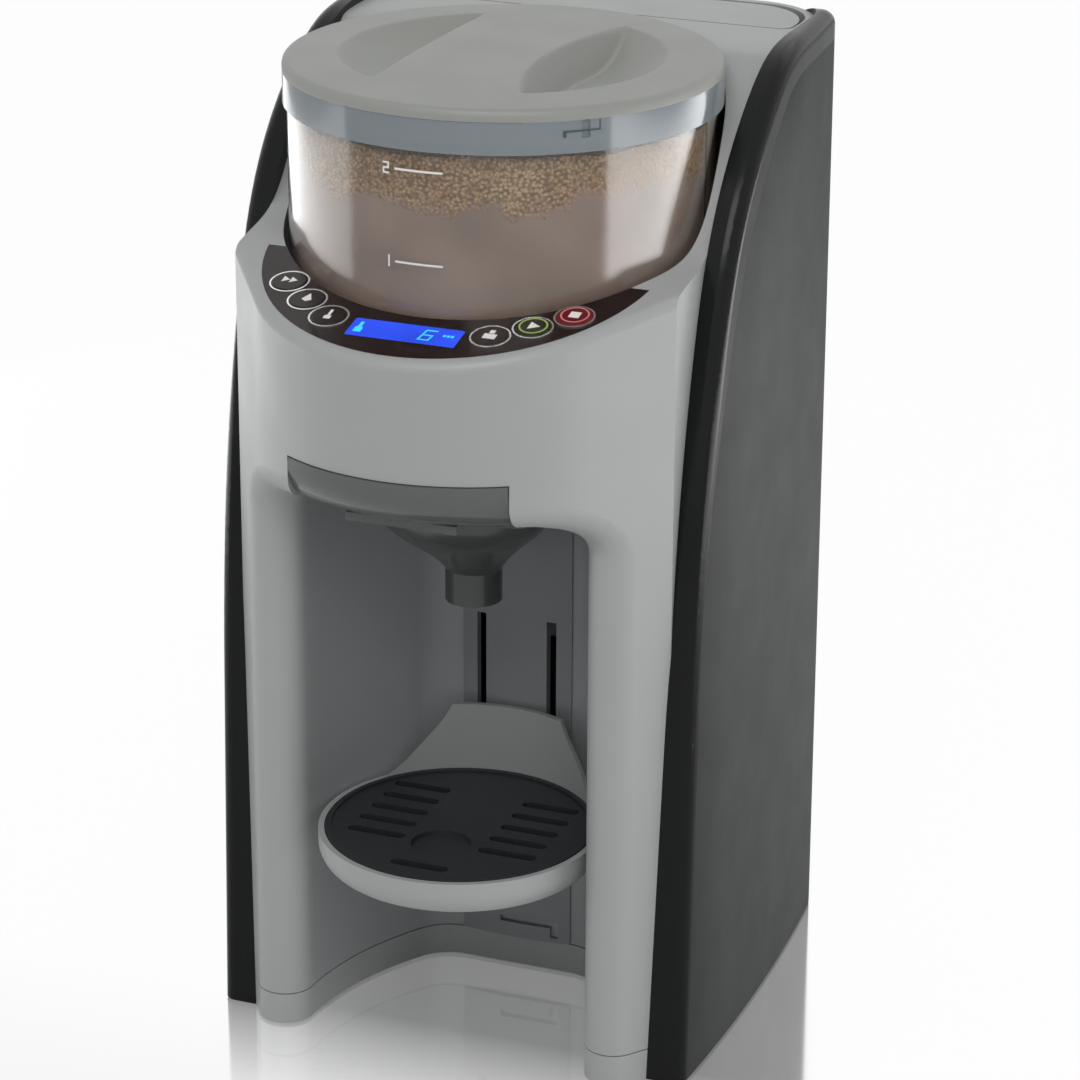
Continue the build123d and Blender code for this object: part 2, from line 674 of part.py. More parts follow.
FLANGE_DEPTH = 3.2
STEM_DEPTH = 5.0
BUTTON_NAMES = ["speed_button", "water_button", "warmth_button"]
BUTTON_NAMES += ["stop_button", "start_button", "amount_button"]
BUTTON_PLACES = [(-x, y) for x, y in BUTTON_SPOTS] + list(BUTTON_SPOTS)
for name, (x, y) in zip(BUTTON_NAMES, BUTTON_PLACES):
    with BuildPart() as button:
        with BuildSketch(LEDGE.offset(-FLANGE_DEPTH)):
            with Locations(on_ledge(x, y)):
                Circle(BUTTON_R)
        extrude(amount=FLANGE_DEPTH + 0.7)
        fillet(button.faces().sort_by(Axis.Z)[-1].edges(), 0.5)
        with BuildSketch(LEDGE.offset(-FLANGE_DEPTH)):
            with Locations(on_ledge(x, y)):
                Circle(BUTTON_R + 0.9)
        extrude(amount=0.5)
        with BuildSketch(LEDGE.offset(-STEM_DEPTH)):
            with Locations(on_ledge(x, y)):
                Circle(2.0)
        extrude(amount=STEM_DEPTH - 1)
    finish(button, name)

BOARD_TOP = -9.0
with BuildPart() as control_board:
    with BuildSketch(Plane.XY.offset(BAY_TOP_Z)):
        add(crescent(PANEL_R - 2, CAN_R + PANEL_GAP + 1, PANEL_END_Y - 8))
    extrude(amount=HEAD_HEIGHT)
    add(ledge_slab(BOARD_TOP, BOARD_TOP - 1.6), mode=Mode.INTERSECT)
    with BuildSketch(LEDGE.offset(BOARD_TOP)):
        for x, y in BUTTON_SPOTS:
            with Locations(on_ledge(x, y), on_ledge(-x, y)):
                RectangleRounded(6, 6, 0.5)
    extrude(amount=-BOARD_TOP - STEM_DEPTH - BUTTON_TRAVEL - 0.3)
    with BuildSketch(LEDGE.offset(BOARD_TOP)):
        Rectangle(DISPLAY_W - 6, DISPLAY_H - 4)
    extrude(amount=-BOARD_TOP - SKIN - 0.3)
finish(control_board, "control_board")

# ---------------------------------------------------------------- powder container
CAN_WALL = 2.2
CAN_BASE_H = 2.5
BAND_Z = BODY_HEIGHT - 15.4           # frosted band: its lower edge
BAND_TOP_Z = BODY_HEIGHT - 4.5
OUTLET_R = 7.5
OUTLET_ARM = CAN_Y - SPOUT_Y
HUB_R = 8.0
WHEEL_R = 40.0
WHEEL_T = 3.5
BASE_DISC_R = 68.0
BASE_DISC_H = 8.0
SEAT_Z = CAN_FLOOR_Z - BASE_DISC_H
KEY_FLATS = 8.0

with BuildPart() as powder_container:
    with BuildSketch(Plane.XY.offset(CAN_FLOOR_Z)):
        with Locations((0, CAN_Y)):
            Circle(CAN_R)
    extrude(amount=BAND_TOP_Z - 3.5 - CAN_FLOOR_Z)
    fillet(powder_container.faces().sort_by(Axis.Z)[0].edges(), 3.0)
    with BuildSketch(Plane.XY.offset(CAN_FLOOR_Z + CAN_BASE_H)):
        with Locations((0, CAN_Y)):
            Circle(CAN_R - CAN_WALL)
    extrude(amount=HEAD_HEIGHT, mode=Mode.SUBTRACT)
    with BuildSketch(Plane.XY.offset(CAN_FLOOR_Z)):
        with Locations((0, CAN_Y)):
            Circle(HUB_R + RUN_GAP)
        with Locations((0, SPOUT_Y)):
            Circle(OUTLET_R)
    extrude(amount=CAN_BASE_H, mode=Mode.SUBTRACT)
finish(powder_container, "powder_container")

with BuildPart() as container_band:
    with BuildSketch(Plane.XY.offset(BAND_Z)):
        with Locations((0, CAN_Y)):
            Circle(BAND_R)
            Circle(CAN_R, mode=Mode.SUBTRACT)
    extrude(amount=BAND_TOP_Z - BAND_Z)
    for turn in (0, 180):
        with Locations(Pos(0, CAN_Y, 0) * Rot(0, 0, turn + 133)):
            with Locations((BAND_R - 0.2, 0, BAND_TOP_Z)):
                Box(1.4, 3, 6, align=(Align.CENTER, Align.CENTER, Align.MAX), mode=Mode.SUBTRACT)
finish(container_band, "container_band")

with BuildPart() as container_base:
    with BuildSketch(Plane.XY.offset(SEAT_Z)):
        with Locations((0, CAN_Y)):
            Circle(BASE_DISC_R)
    extrude(amount=BASE_DISC_H)
    fillet(container_base.faces().sort_by(Axis.Z)[0].edges(), 1.5)
    with BuildSketch(Plane.XY.offset(CAN_FLOOR_Z - WHEEL_T - 0.3)):
        with Locations((0, CAN_Y)):
            Circle(WHEEL_R + FREE_GAP)
    extrude(amount=WHEEL_T + 1, mode=Mode.SUBTRACT)
    with BuildSketch(Plane.XY.offset(SEAT_Z)):
        with Locations((0, CAN_Y)):
            Circle(HUB_R + RUN_GAP)
        with Locations((0, SPOUT_Y)):
            Circle(OUTLET_R)
    extrude(amount=BASE_DISC_H, mode=Mode.SUBTRACT)
finish(container_base, "container_base")

with BuildPart() as dosing_wheel:
    with BuildSketch(Plane.XY.offset(CAN_FLOOR_Z - WHEEL_T - 0.2)):
        with Locations((0, CAN_Y)):
            Circle(WHEEL_R)
            with PolarLocations(OUTLET_ARM, 6, start_angle=-60):
                Circle(OUTLET_R - 1, mode=Mode.SUBTRACT)
    extrude(amount=WHEEL_T)
    with BuildSketch(Plane.XY.offset(SEAT_Z + 0.3)):
        with Locations((0, CAN_Y)):
            Circle(HUB_R)
    extrude(amount=BASE_DISC_H + CAN_BASE_H + 0.7)
    with BuildSketch(Plane.XY.offset(SEAT_Z)):
        with Locations((0, CAN_Y)):
            RegularPolygon(KEY_FLATS / 2 + RUN_GAP, 6, major_radius=False)
    extrude(amount=BASE_DISC_H, mode=Mode.SUBTRACT)
    with BuildSketch(Plane.XY.offset(CAN_FLOOR_Z + CAN_BASE_H + 1.0)):
        with Locations((0, CAN_Y)):
            RegularPolygon(KEY_FLATS / 2, 6, major_radius=False)
    extrude(amount=8)
finish(dosing_wheel, "dosing_wheel")

STIR_Z = CAN_FLOOR_Z + CAN_BASE_H + 1.1
with BuildPart() as stirring_wheel:
    with BuildSketch(Plane.XY.offset(STIR_Z)):
        with Locations((0, CAN_Y)):
            Circle(12)
            with PolarLocations(0, 6):
                with Locations((CAN_R / 2 - 4, 0)):
                    SlotOverall(CAN_R - 12, 5)
    extrude(amount=3)
    with BuildSketch(Plane.XY.offset(STIR_Z)):
        with Locations((0, CAN_Y)):
            Circle(8)
            with PolarLocations(CAN_R - 12, 6):
                Rectangle(3, 10)
    extrude(amount=10)
    with BuildSketch(Plane.XY.offset(STIR_Z)):
        with Locations((0, CAN_Y)):
            RegularPolygon(KEY_FLATS / 2, 6, major_radius=False)
    extrude(amount=10, mode=Mode.SUBTRACT)
finish(stirring_wheel, "stirring_wheel")

# ---------------------------------------------------------------- lid
LID_R = BAND_R
LID_EDGE_Z = BAND_TOP_Z + RUN_GAP
LID_EDGE_T = 4.0
LID_CROWN = 2.0                       # rise of the lid towards its middle
WELL_X = 26.0                         # half width of the grip bar
WELL_R = 57.0
WELL_DEPTH = 12.0
WELL_FLAT_R = 32.0
WELL_LEAN = 0.4                       # lean of the grip bar's flanks
INSERT_R = 69.0


def grip_wells(grow, top):
    """Two dished finger wells that leave the grip bar standing between them."""
    face_z = LID_EDGE_Z + LID_EDGE_T
    floor = face_z - WELL_DEPTH - grow
    rise = WELL_DEPTH + 0.8
    top_r = WELL_FLAT_R + (WELL_R - WELL_FLAT_R) * (top - floor) / rise
    low_half = WELL_X - grow + WELL_LEAN * WELL_DEPTH
    high_half = WELL_X - grow - WELL_LEAN * 30
    with BuildPart() as dish:
        with BuildSketch(Plane.XZ):
            with BuildLine():
                Polyline((0, top), (0, floor), (WELL_FLAT_R, floor), (top_r, top), close=True)
            make_face()
        revolve(axis=Axis.Z)
        with BuildSketch(Plane.XZ):
            with BuildLine():
                Polyline(
                    (-high_half, face_z + 30),
                    (-low_half, face_z - WELL_DEPTH),
                    (-low_half, face_z - 40),
                    (low_half, face_z - 40),
                    (low_half, face_z - WELL_DEPTH),
                    (high_half, face_z + 30),
                    close=True,
                )
            make_face()
        extrude(amount=100, both=True, mode=Mode.SUBTRACT)
    return Pos(0, CAN_Y, 0) * dish.part


with BuildPart() as lid_block:
    with BuildSketch(Plane.XZ):
        with BuildLine():
            Polyline(
                (0, LID_EDGE_Z + LID_EDGE_T + LID_CROWN),
                (0, LID_EDGE_Z),
                (LID_R, LID_EDGE_Z),
                (LID_R, LID_EDGE_Z + LID_EDGE_T - 2),
            )
            ThreePointArc(
                (LID_R, LID_EDGE_Z + LID_EDGE_T - 2),
                (LID_R - 0.6, LID_EDGE_Z + LID_EDGE_T - 0.6),
                (LID_R - 2, LID_EDGE_Z + LID_EDGE_T),
            )
            Line(
                (LID_R - 2, LID_EDGE_Z + LID_EDGE_T),
                (WELL_R, LID_EDGE_Z + LID_EDGE_T + 0.8),
            )
            Line(
                (WELL_R, LID_EDGE_Z + LID_EDGE_T + 0.8),
                (0, LID_EDGE_Z + LID_EDGE_T + LID_CROWN),
            )
        make_face()
    revolve(axis=Axis.Z)
lid_disc = Pos(0, CAN_Y, 0) * lid_block.part

with BuildPart() as lid_cap:
    add(lid_disc)
    with BuildSketch(Plane.XY.offset(LID_EDGE_Z - 4)):
        with Locations((0, CAN_Y)):
            Circle(INSERT_R - 4)
            Circle(INSERT_R - 6, mode=Mode.SUBTRACT)
    extrude(amount=4.5)
    add(grip_wells(2.2, LID_EDGE_Z + 1))
    add(grip_wells(0.0, LID_EDGE_Z + 20), mode=Mode.SUBTRACT)
finish(lid_cap, "lid_cap")

with BuildPart() as lid_insert:
    with BuildSketch(Plane.XY.offset(LID_EDGE_Z - 3.4)):
        with Locations((0, CAN_Y)):
            Circle(CAN_R - 0.6)
            Circle(INSERT_R - 3.7, mode=Mode.SUBTRACT)
    extrude(amount=3.3)
    with BuildSketch(Plane.XY.offset(LID_EDGE_Z - 9)):
        with Locations((0, CAN_Y)):
            Circle(INSERT_R)
            Circle(INSERT_R - 3.7, mode=Mode.SUBTRACT)
    extrude(amount=6)
finish(lid_insert, "lid_insert")

with BuildPart() as lid_seal:
    with BuildSketch(Plane.XY.offset(LID_EDGE_Z - 7)):
        with Locations((0, CAN_Y)):
            Circle(CAN_R - CAN_WALL - 0.3)
            Circle(INSERT_R, mode=Mode.SUBTRACT)
    extrude(amount=3.0)
finish(lid_seal, "lid_seal")

# ---------------------------------------------------------------- seat and drive
SEAT_T = 3.0
GEAR_H = 8.0
GEAR_Z = SEAT_Z - SEAT_T - 1.0 - GEAR_H
SHAFT_R = 3.0
MODULE = 1.0
GEAR_TEETH = 30
PINION_TEETH = 12
MOTOR_Y = CAN_Y + MODULE * (GEAR_TEETH + PINION_TEETH) / 2
GEAR_PLATE_Z = GEAR_Z - 4.0
GEAR_PLATE_T = 3.0
MOTOR_SHAFT_R = 2.0
LEG_SPOTS = [(-34, -40), (34, -40)]
POST_SPOTS = [(-24, 14), (24, 14), (-24, -22)]


def gear_outline(teeth, bore, phase=0.0):
    """Plan of a spur gear with plain tapered teeth and some backlash."""
    pitch_r = MODULE * teeth / 2
    root_r = pitch_r - 1.15 * MODULE
    tip_r = pitch_r + 0.8 * MODULE
    with BuildSketch() as tooth:
        with BuildLine():
            Polyline(
                (root_r - 0.5, -0.95 * MODULE),
                (root_r - 0.5, 0.95 * MODULE),
                (tip_r, 0.32 * MODULE),
                (tip_r, -0.32 * MODULE),
                close=True,
            )
        make_face()
    with BuildSketch() as plan:
        Circle(root_r)
        with PolarLocations(0, teeth, start_angle=phase):
            add(tooth.sketch)
        Circle(bore, mode=Mode.SUBTRACT)
    return plan.sketch


with BuildPart() as container_seat:
    with BuildSketch(Plane.XY.offset(SEAT_Z - SEAT_T)):
        with Locations((0, CAN_Y)):
            Circle(CAN_R + 1.5)
        with Locations((0, SPOUT_Y)):
            Circle(CHUTE_R - 1.5, mode=Mode.SUBTRACT)
        with Locations((0, CAN_Y)):
            Circle(HUB_R - 2 + RUN_GAP, mode=Mode.SUBTRACT)
    extrude(amount=SEAT_T)
    with BuildSketch(Plane.XY.offset(SEAT_Z)):
        with Locations((0, CAN_Y)):
            Circle(CAN_R - 1)
            Circle(BASE_DISC_R + FREE_GAP, mode=Mode.SUBTRACT)
    extrude(amount=4)
    with BuildSketch(Plane.XY.offset(BAY_TOP_Z + 0.5)):
        with Locations((0, SPOUT_Y)):
            Circle(CHUTE_R)
            Circle(CHUTE_R - 1.5, mode=Mode.SUBTRACT)
    extrude(amount=SEAT_Z - SEAT_T - BAY_TOP_Z - 0.5)
    with BuildSketch(Plane.XY.offset(BAY_TOP_Z + LINER_WALL)):
        with Locations(*LEG_SPOTS):
            Circle(4)
    extrude(amount=SEAT_Z - SEAT_T - BAY_TOP_Z - LINER_WALL)
    with BuildSketch(Plane.XY.offset(GEAR_PLATE_Z + GEAR_PLATE_T)):
        with Locations(*POST_SPOTS):
            Circle(3.5)
    extrude(amount=SEAT_Z - SEAT_T - GEAR_PLATE_Z - GEAR_PLATE_T)
finish(container_seat, "container_seat")

with BuildPart() as drive_coupling:
    with BuildSketch(Plane.XY.offset(GEAR_PLATE_Z - 1.0)):
        with Locations((0, CAN_Y)):
            Circle(SHAFT_R)
    extrude(amount=SEAT_Z - SEAT_T - GEAR_PLATE_Z + 1.0)
    with BuildSketch(Plane.XY.offset(SEAT_Z - SEAT_T)):
        with Locations((0, CAN_Y)):
            Circle(HUB_R - 2)
    extrude(amount=SEAT_T)
    with BuildSketch(Plane.XY.offset(SEAT_Z)):
        with Locations((0, CAN_Y)):
            RegularPolygon(KEY_FLATS / 2, 6, major_radius=False)
    extrude(amount=BASE_DISC_H - 1.0)
    chamfer(drive_coupling.faces().sort_by(Axis.Z)[-1].edges(), 0.6)
finish(drive_coupling, "drive_coupling")

with BuildPart() as drive_gear:
    with BuildSketch(Plane.XY.offset(GEAR_Z)):
        with Locations((0, CAN_Y)):
            add(gear_outline(GEAR_TEETH, SHAFT_R, 90))
    extrude(amount=GEAR_H)
finish(drive_gear, "drive_gear")

with BuildPart() as motor_pinion:
    with BuildSketch(Plane.XY.offset(GEAR_Z)):
        with Locations((0, MOTOR_Y)):
            add(gear_outline(PINION_TEETH, MOTOR_SHAFT_R, -90 + 180 / PINION_TEETH))
    extrude(amount=GEAR_H)
    with BuildSketch(Plane.XY.offset(GEAR_PLATE_Z - 3.0)):
        with Locations((0, MOTOR_Y)):
            Circle(MOTOR_SHAFT_R)
    extrude(amount=3.0 + GEAR_Z + GEAR_H + 0.5 - GEAR_PLATE_Z)
finish(motor_pinion, "motor_pinion")

with BuildPart() as gear_plate:
    with BuildSketch(Plane.XY.offset(GEAR_PLATE_Z)):
        with Locations((0, -4)):
            RectangleRounded(60, 50, 5)
        with Locations((0, CAN_Y)):
            Circle(SHAFT_R + RUN_GAP, mode=Mode.SUBTRACT)
        with Locations((0, MOTOR_Y)):
            Circle(MOTOR_SHAFT_R + RUN_GAP, mode=Mode.SUBTRACT)
        with Locations((0, SPOUT_Y)):
            Circle(CHUTE_R + FREE_GAP, mode=Mode.SUBTRACT)
        with Locations(NOZZLE_SPOT):
            Circle(NOZZLE_R + 1.0, mode=Mode.SUBTRACT)
    extrude(amount=GEAR_PLATE_T)
finish(gear_plate, "gear_plate")

MOTOR_R = 14.0
with BuildPart() as powder_motor:
    with BuildSketch(Plane.XY.offset(BAY_TOP_Z + LINER_WALL + 1.0)):
        with Locations((0, MOTOR_Y)):
            Circle(MOTOR_R)
            Rectangle(2 * MOTOR_R + 6, 8)
    extrude(amount=GEAR_PLATE_Z - BAY_TOP_Z - LINER_WALL - 1.0)
    with BuildSketch(Plane.XY.offset(GEAR_PLATE_Z - 4.0)):
        with Locations((0, MOTOR_Y)):
            Circle(MOTOR_SHAFT_R + RUN_GAP)
    extrude(amount=4.0, mode=Mode.SUBTRACT)
finish(powder_motor, "powder_motor")

# ---------------------------------------------------------------- funnel and its visor
FLANGE_T = 2.0
FLANGE_Z = RAIL_LIP_Z + FREE_GAP
FLANGE_FRONT = FRONT_Y + 32.0
FUNNEL_MID_Y = SPOUT_Y - 9.0
SPOUT_Z = BAY_TOP_Z - SPOUT_DROP


def funnel_cone(skin):
    """Oval mouth that narrows to the round spout."""
    top_z = FLANGE_Z + FLANGE_T
    stations = [
        (top_z, 34.5, 33.0, FUNNEL_MID_Y),
        (top_z - 18, 27.0, 26.5, FUNNEL_MID_Y + 3),
        (top_z - 30, 14.5, 15.0, SPOUT_Y - 1),
        (top_z - 36, SPOUT_R, SPOUT_R, SPOUT_Y),
    ]
    with BuildPart() as cone:
        for z, rx, ry, y in stations:
            with BuildSketch(Plane.XY.offset(z)):
                with Locations((0, y)):
                    Ellipse(rx - skin, ry - skin)
        loft()
        with BuildSketch(Plane.XY.offset(stations[-1][0])):
            with Locations((0, SPOUT_Y)):
                Circle(SPOUT_R - skin)
        extrude(amount=SPOUT_Z - stations[-1][0] - (1 if skin else 0))
    return cone.part


cone_outer = funnel_cone(0.0)
cone_inner = funnel_cone(FUNNEL_WALL)
with BuildPart() as funnel:
    with BuildSketch(Plane.XY.offset(FLANGE_Z)) as flange:
        with Locations((0, (FLANGE_FRONT + FLANGE_BACK_Y) / 2)):
            Rectangle(2 * FLANGE_HALF, FLANGE_BACK_Y - FLANGE_FRONT)
        fillet(flange.vertices().group_by(Axis.Y)[-1], BAY_ARCH_R)
        fillet(flange.vertices().group_by(Axis.Y)[0], 4)
    extrude(amount=FLANGE_T)
    add(cone_outer)
    add(cone_inner, mode=Mode.SUBTRACT)
finish(funnel, "funnel")


with BuildSketch() as visor_section:
    with BuildLine():
        Line((-VISOR_OUTER_R, 0), (-VISOR_INNER_R, 0))
        CenterArc((0, 0), VISOR_INNER_R, 180, 90)
        Line((0, -VISOR_INNER_R), (0, -VISOR_OUTER_R))
        CenterArc((0, 0), VISOR_OUTER_R, 180, 90)
    make_face()
with BuildPart() as funnel_visor:
    add(lintel_loft(VISOR_HALF, visor_section.sketch))
    with Locations((0, FLANGE_FRONT + 2, FLANGE_Z + FLANGE_T)):
        Box(
            40,
            20,
            BAY_TOP_Z - FREE_GAP - FLANGE_Z - FLANGE_T,
            align=(Align.CENTER, Align.MAX, Align.MIN),
        )
finish(funnel_visor, "funnel_visor")

# ---------------------------------------------------------------- drip tray
GRILLE_T = 3.0
DISH_WALL = 2.0
HOOK_START_Y = TRAY_Y + sqrt(TRAY_R**2 - (HOOK_X + HOOK_W / 2) ** 2) - 0.7
HOOK_END_Y = BAY_BACK_Y + LINER_WALL + FREE_GAP

with BuildPart() as tray_wall:
    with BuildSketch(Plane.XZ.offset(-TRAY_Y - TRAY_R)):
        with BuildLine():
            shoulder = (21.0, TRAY_Z + TRAY_WALL_H)
            wing = (31.0, TRAY_Z + 10.0)
            foot = (42.0, TRAY_Z - 1.0)
            Line((-shoulder[0], shoulder[1]), shoulder)
            Spline(shoulder, wing, foot, tangents=[(0.4, -1), (1, -0.5)])
            Polyline(foot, (42.0, TRAY_Z - 4.0), (-42.0, TRAY_Z - 4.0), (-42.0, TRAY_Z - 1.0))
            Spline(
                (-foot[0], foot[1]),
                (-wing[0], wing[1]),
                (-shoulder[0], shoulder[1]),
                tangents=[(1, 0.5), (0.4, 1)],
            )
        make_face()
    extrude(amount=TRAY_R)
    with BuildSketch():
        with Locations((0, TRAY_Y)):
            Circle(TRAY_R)
            Circle(GRILLE_R + FREE_GAP, mode=Mode.SUBTRACT)
    extrude(amount=BAY_TOP_Z, mode=Mode.INTERSECT)

with BuildPart() as drip_tray:
    with BuildSketch(Plane.XY.offset(TRAY_Z - TRAY_DEPTH)):
        with Locations((0, TRAY_Y)):
            Circle(TRAY_R)
    extrude(amount=TRAY_DEPTH - 0.4)
    fillet(drip_tray.faces().sort_by(Axis.Z)[0].edges(), 9.0)
    with BuildSketch(Plane.XY.offset(TRAY_Z - GRILLE_T)):
        with Locations((0, TRAY_Y)):
            Circle(GRILLE_R + FREE_GAP)
    extrude(amount=GRILLE_T, mode=Mode.SUBTRACT)
    with BuildSketch(Plane.XY.offset(TRAY_Z - TRAY_DEPTH + DISH_WALL)):
        with Locations((0, TRAY_Y)):
            Circle(GRILLE_R - 2.5)
    extrude(amount=TRAY_DEPTH - DISH_WALL, mode=Mode.SUBTRACT)
    add(tray_wall.part)
    for sign in (-1, 1):
        with Locations((sign * HOOK_X, HOOK_START_Y, HOOK_Z)):
            Box(
                HOOK_W,
                HOOK_END_Y - HOOK_START_Y,
                HOOK_H,
                align=(Align.CENTER, Align.MIN, Align.MIN),
            )
        with Locations((sign * HOOK_X, HOOK_END_Y, HOOK_Z - 2)):
            Box(
                HOOK_W + 5,
                2.2,
                HOOK_H,
                align=(Align.CENTER, Align.MIN, Align.MIN),
            )
finish(drip_tray, "drip_tray")

SLOT_X = 24.8
SLOT_PITCH = 10.3
SLOT_LENGTH = 21.5
SLOT_W = 4.4
DIMPLE_Y = TRAY_Y - 17.0
DIMPLE_R = 10.7
with BuildPart() as tray_grille:
    with BuildSketch(Plane.XY.offset(TRAY_Z - GRILLE_T)):
        with Locations((0, TRAY_Y)):
            Circle(GRILLE_R)
    extrude(amount=GRILLE_T)
    with BuildSketch(Plane.XY.offset(TRAY_Z)):
        with Locations((0, TRAY_Y)):
            Circle(GRILLE_R - 2.0)
    extrude(amount=-0.6, mode=Mode.SUBTRACT)
    with BuildSketch(Plane.XY.offset(TRAY_Z - GRILLE_T)):
        with Locations((0, TRAY_Y + 3.9)):
            with GridLocations(2 * SLOT_X, SLOT_PITCH, 2, 5):
                SlotOverall(SLOT_LENGTH, SLOT_W)
        with Locations((0, TRAY_Y - 36.5)):
            SlotOverall(SLOT_LENGTH, SLOT_W)
        with Locations((0, DIMPLE_Y)):
            Circle(DIMPLE_R)
    extrude(amount=GRILLE_T, mode=Mode.SUBTRACT)
    with BuildSketch(Plane.XY.offset(TRAY_Z - GRILLE_T)):
        with Locations((0, DIMPLE_Y)):
            Circle(DIMPLE_R + 0.5)
    extrude(amount=1.0)
finish(tray_grille, "tray_grille")

# ---------------------------------------------------------------- water tank
TANK_WALL = 2.0
TANK_Z = 46.0
TANK_TOP_Z = DECK_Z - 6.0
TANK_MID_Y = (TANK_FRONT_Y + TANK_REAR_Y) / 2
LID_T = 3.0
PIN_R = 0.8
PIN_Y = TANK_REAR_Y - 1.2
PIN_Z = DECK_Z - 1.6
KNUCKLE_HALF = 20.0
KNUCKLE_T = 2.6
KNUCKLE_ROOM = 0.8                    # gap in the lid in front of each knuckle
VALVE_R = 7.0
SHELF_Z = 36.0
SHELF_T = 4.0


def tank_outline(inset):
    """Plan of the tank with its large rear corners."""
    with BuildSketch() as plan:
        with Locations((0, TANK_MID_Y)):
            Rectangle(2 * (TANK_HALF - inset), TANK_DEPTH - 2 * inset)
        fillet(plan.vertices().group_by(Axis.Y)[-1], DECK_CORNER_R - 4 - inset)
        fillet(plan.vertices().group_by(Axis.Y)[0], 4.5 - inset)
    return plan.sketch


with BuildPart() as water_tank:
    with BuildSketch(Plane.XY.offset(TANK_Z)):
        add(tank_outline(0.0))
    extrude(amount=TANK_TOP_Z - TANK_Z)
    with BuildSketch(Plane.XY.offset(TANK_Z + TANK_WALL)):
        add(tank_outline(TANK_WALL))
    extrude(amount=TANK_TOP_Z, mode=Mode.SUBTRACT)
    with BuildSketch(Plane.XY.offset(TANK_Z)):
        with Locations((VALVE_X, TANK_MID_Y)):
            Circle(VALVE_R)
    extrude(amount=TANK_WALL, mode=Mode.SUBTRACT)
    for sign in (-1, 1):
        with Locations((sign * (KNUCKLE_HALF + 2.5), TANK_REAR_Y, TANK_TOP_Z - 4)):
            Box(4, KNUCKLE_T, PIN_Z + 1.4 - TANK_TOP_Z + 4, align=(Align.CENTER, Align.MAX, Align.MIN))
    with Locations((0, PIN_Y, PIN_Z)):
        Cylinder(PIN_R, 60, rotation=(0, 90, 0), mode=Mode.SUBTRACT)
finish(water_tank, "water_tank")

with BuildPart() as tank_lid:
    with BuildSketch(Plane.XY.offset(DECK_Z - LID_T)) as lid_plan:
        add(tank_outline(-0.2))
        for sign in (-1, 1):
            with Locations((sign * (KNUCKLE_HALF + 2.5), TANK_REAR_Y)):
                Rectangle(4.8, 2 * (KNUCKLE_T + KNUCKLE_ROOM), mode=Mode.SUBTRACT)
    extrude(amount=LID_T)
    with BuildSketch(Plane.XY.offset(TANK_TOP_Z + 0.3)):
        with Locations((0, TANK_FRONT_Y + 12)):
            RectangleRounded(2 * TANK_HALF - 14, 16, 4)
            RectangleRounded(2 * TANK_HALF - 18, 12, 2, mode=Mode.SUBTRACT)
    extrude(amount=DECK_Z - LID_T - TANK_TOP_Z)
    with Locations((0, PIN_Y, PIN_Z)):
        Cylinder(PIN_R + 0.05, 60, rotation=(0, 90, 0), mode=Mode.SUBTRACT)
finish(tank_lid, "tank_lid")

with BuildPart() as tank_hinge_pin:
    with Locations((0, PIN_Y, PIN_Z)):
        Cylinder(PIN_R, 2 * (KNUCKLE_HALF + 4.5), rotation=(0, 90, 0))
finish(tank_hinge_pin, "tank_hinge_pin")

with BuildPart() as tank_valve:
    with BuildSketch(Plane.XY.offset(SHELF_Z + SHELF_T + 0.6)):
        with Locations((VALVE_X, TANK_MID_Y)):
            Circle(VALVE_R - 2)
    extrude(amount=TANK_Z - SHELF_Z - SHELF_T)
    with BuildSketch(Plane.XY.offset(TANK_Z)):
        with Locations((VALVE_X, TANK_MID_Y)):
            Circle(VALVE_R)
    extrude(amount=TANK_WALL)
    with BuildSketch(Plane.XY.offset(TANK_Z + TANK_WALL)):
        with Locations((VALVE_X, TANK_MID_Y)):
            Circle(VALVE_R + 2)
            with PolarLocations(5, 6):
                Circle(1.2, mode=Mode.SUBTRACT)
    extrude(amount=3)
finish(tank_valve, "tank_valve")

with BuildPart() as tank_seal:
    with BuildSketch(Plane.XY.offset(TANK_Z - 2.6)):
        with Locations((VALVE_X, TANK_MID_Y)):
            Circle(VALVE_R)
            Circle(VALVE_R - 2, mode=Mode.SUBTRACT)
    extrude(amount=2.6)
finish(tank_seal, "tank_seal")

with BuildPart() as tank_shelf:
    with BuildSketch(Plane.XY.offset(SHELF_Z)):
        add(tank_outline(-0.6))
        with Locations((0, TANK_REAR_Y)):
            Rectangle(2 * REAR_GAP_X - 4, 12)
    extrude(amount=SHELF_T)
    with BuildSketch(Plane.XY.offset(SHELF_Z + SHELF_T)):
        with Locations((VALVE_X, TANK_MID_Y)):
            Circle(VALVE_R + 3)
        with Locations((40, TANK_MID_Y), (0, TANK_MID_Y)):
            RectangleRounded(12, 20, 2)
    extrude(amount=TANK_Z - SHELF_Z - SHELF_T)
    with BuildSketch(Plane.XY.offset(SHELF_Z + SHELF_T)):
        with Locations((VALVE_X, TANK_MID_Y)):
            Circle(VALVE_R + 0.4)
    extrude(amount=20, mode=Mode.SUBTRACT)
    with BuildSketch(Plane.XY.offset(SHELF_Z - 8)):
        with Locations((VALVE_X, TANK_MID_Y)):
            Circle(4)
    extrude(amount=8)
    with BuildSketch(Plane.XY.offset(SHELF_Z - 8)):
        with Locations((VALVE_X, TANK_MID_Y)):
            Circle(2)
    extrude(amount=20, mode=Mode.SUBTRACT)
finish(tank_shelf, "tank_shelf")

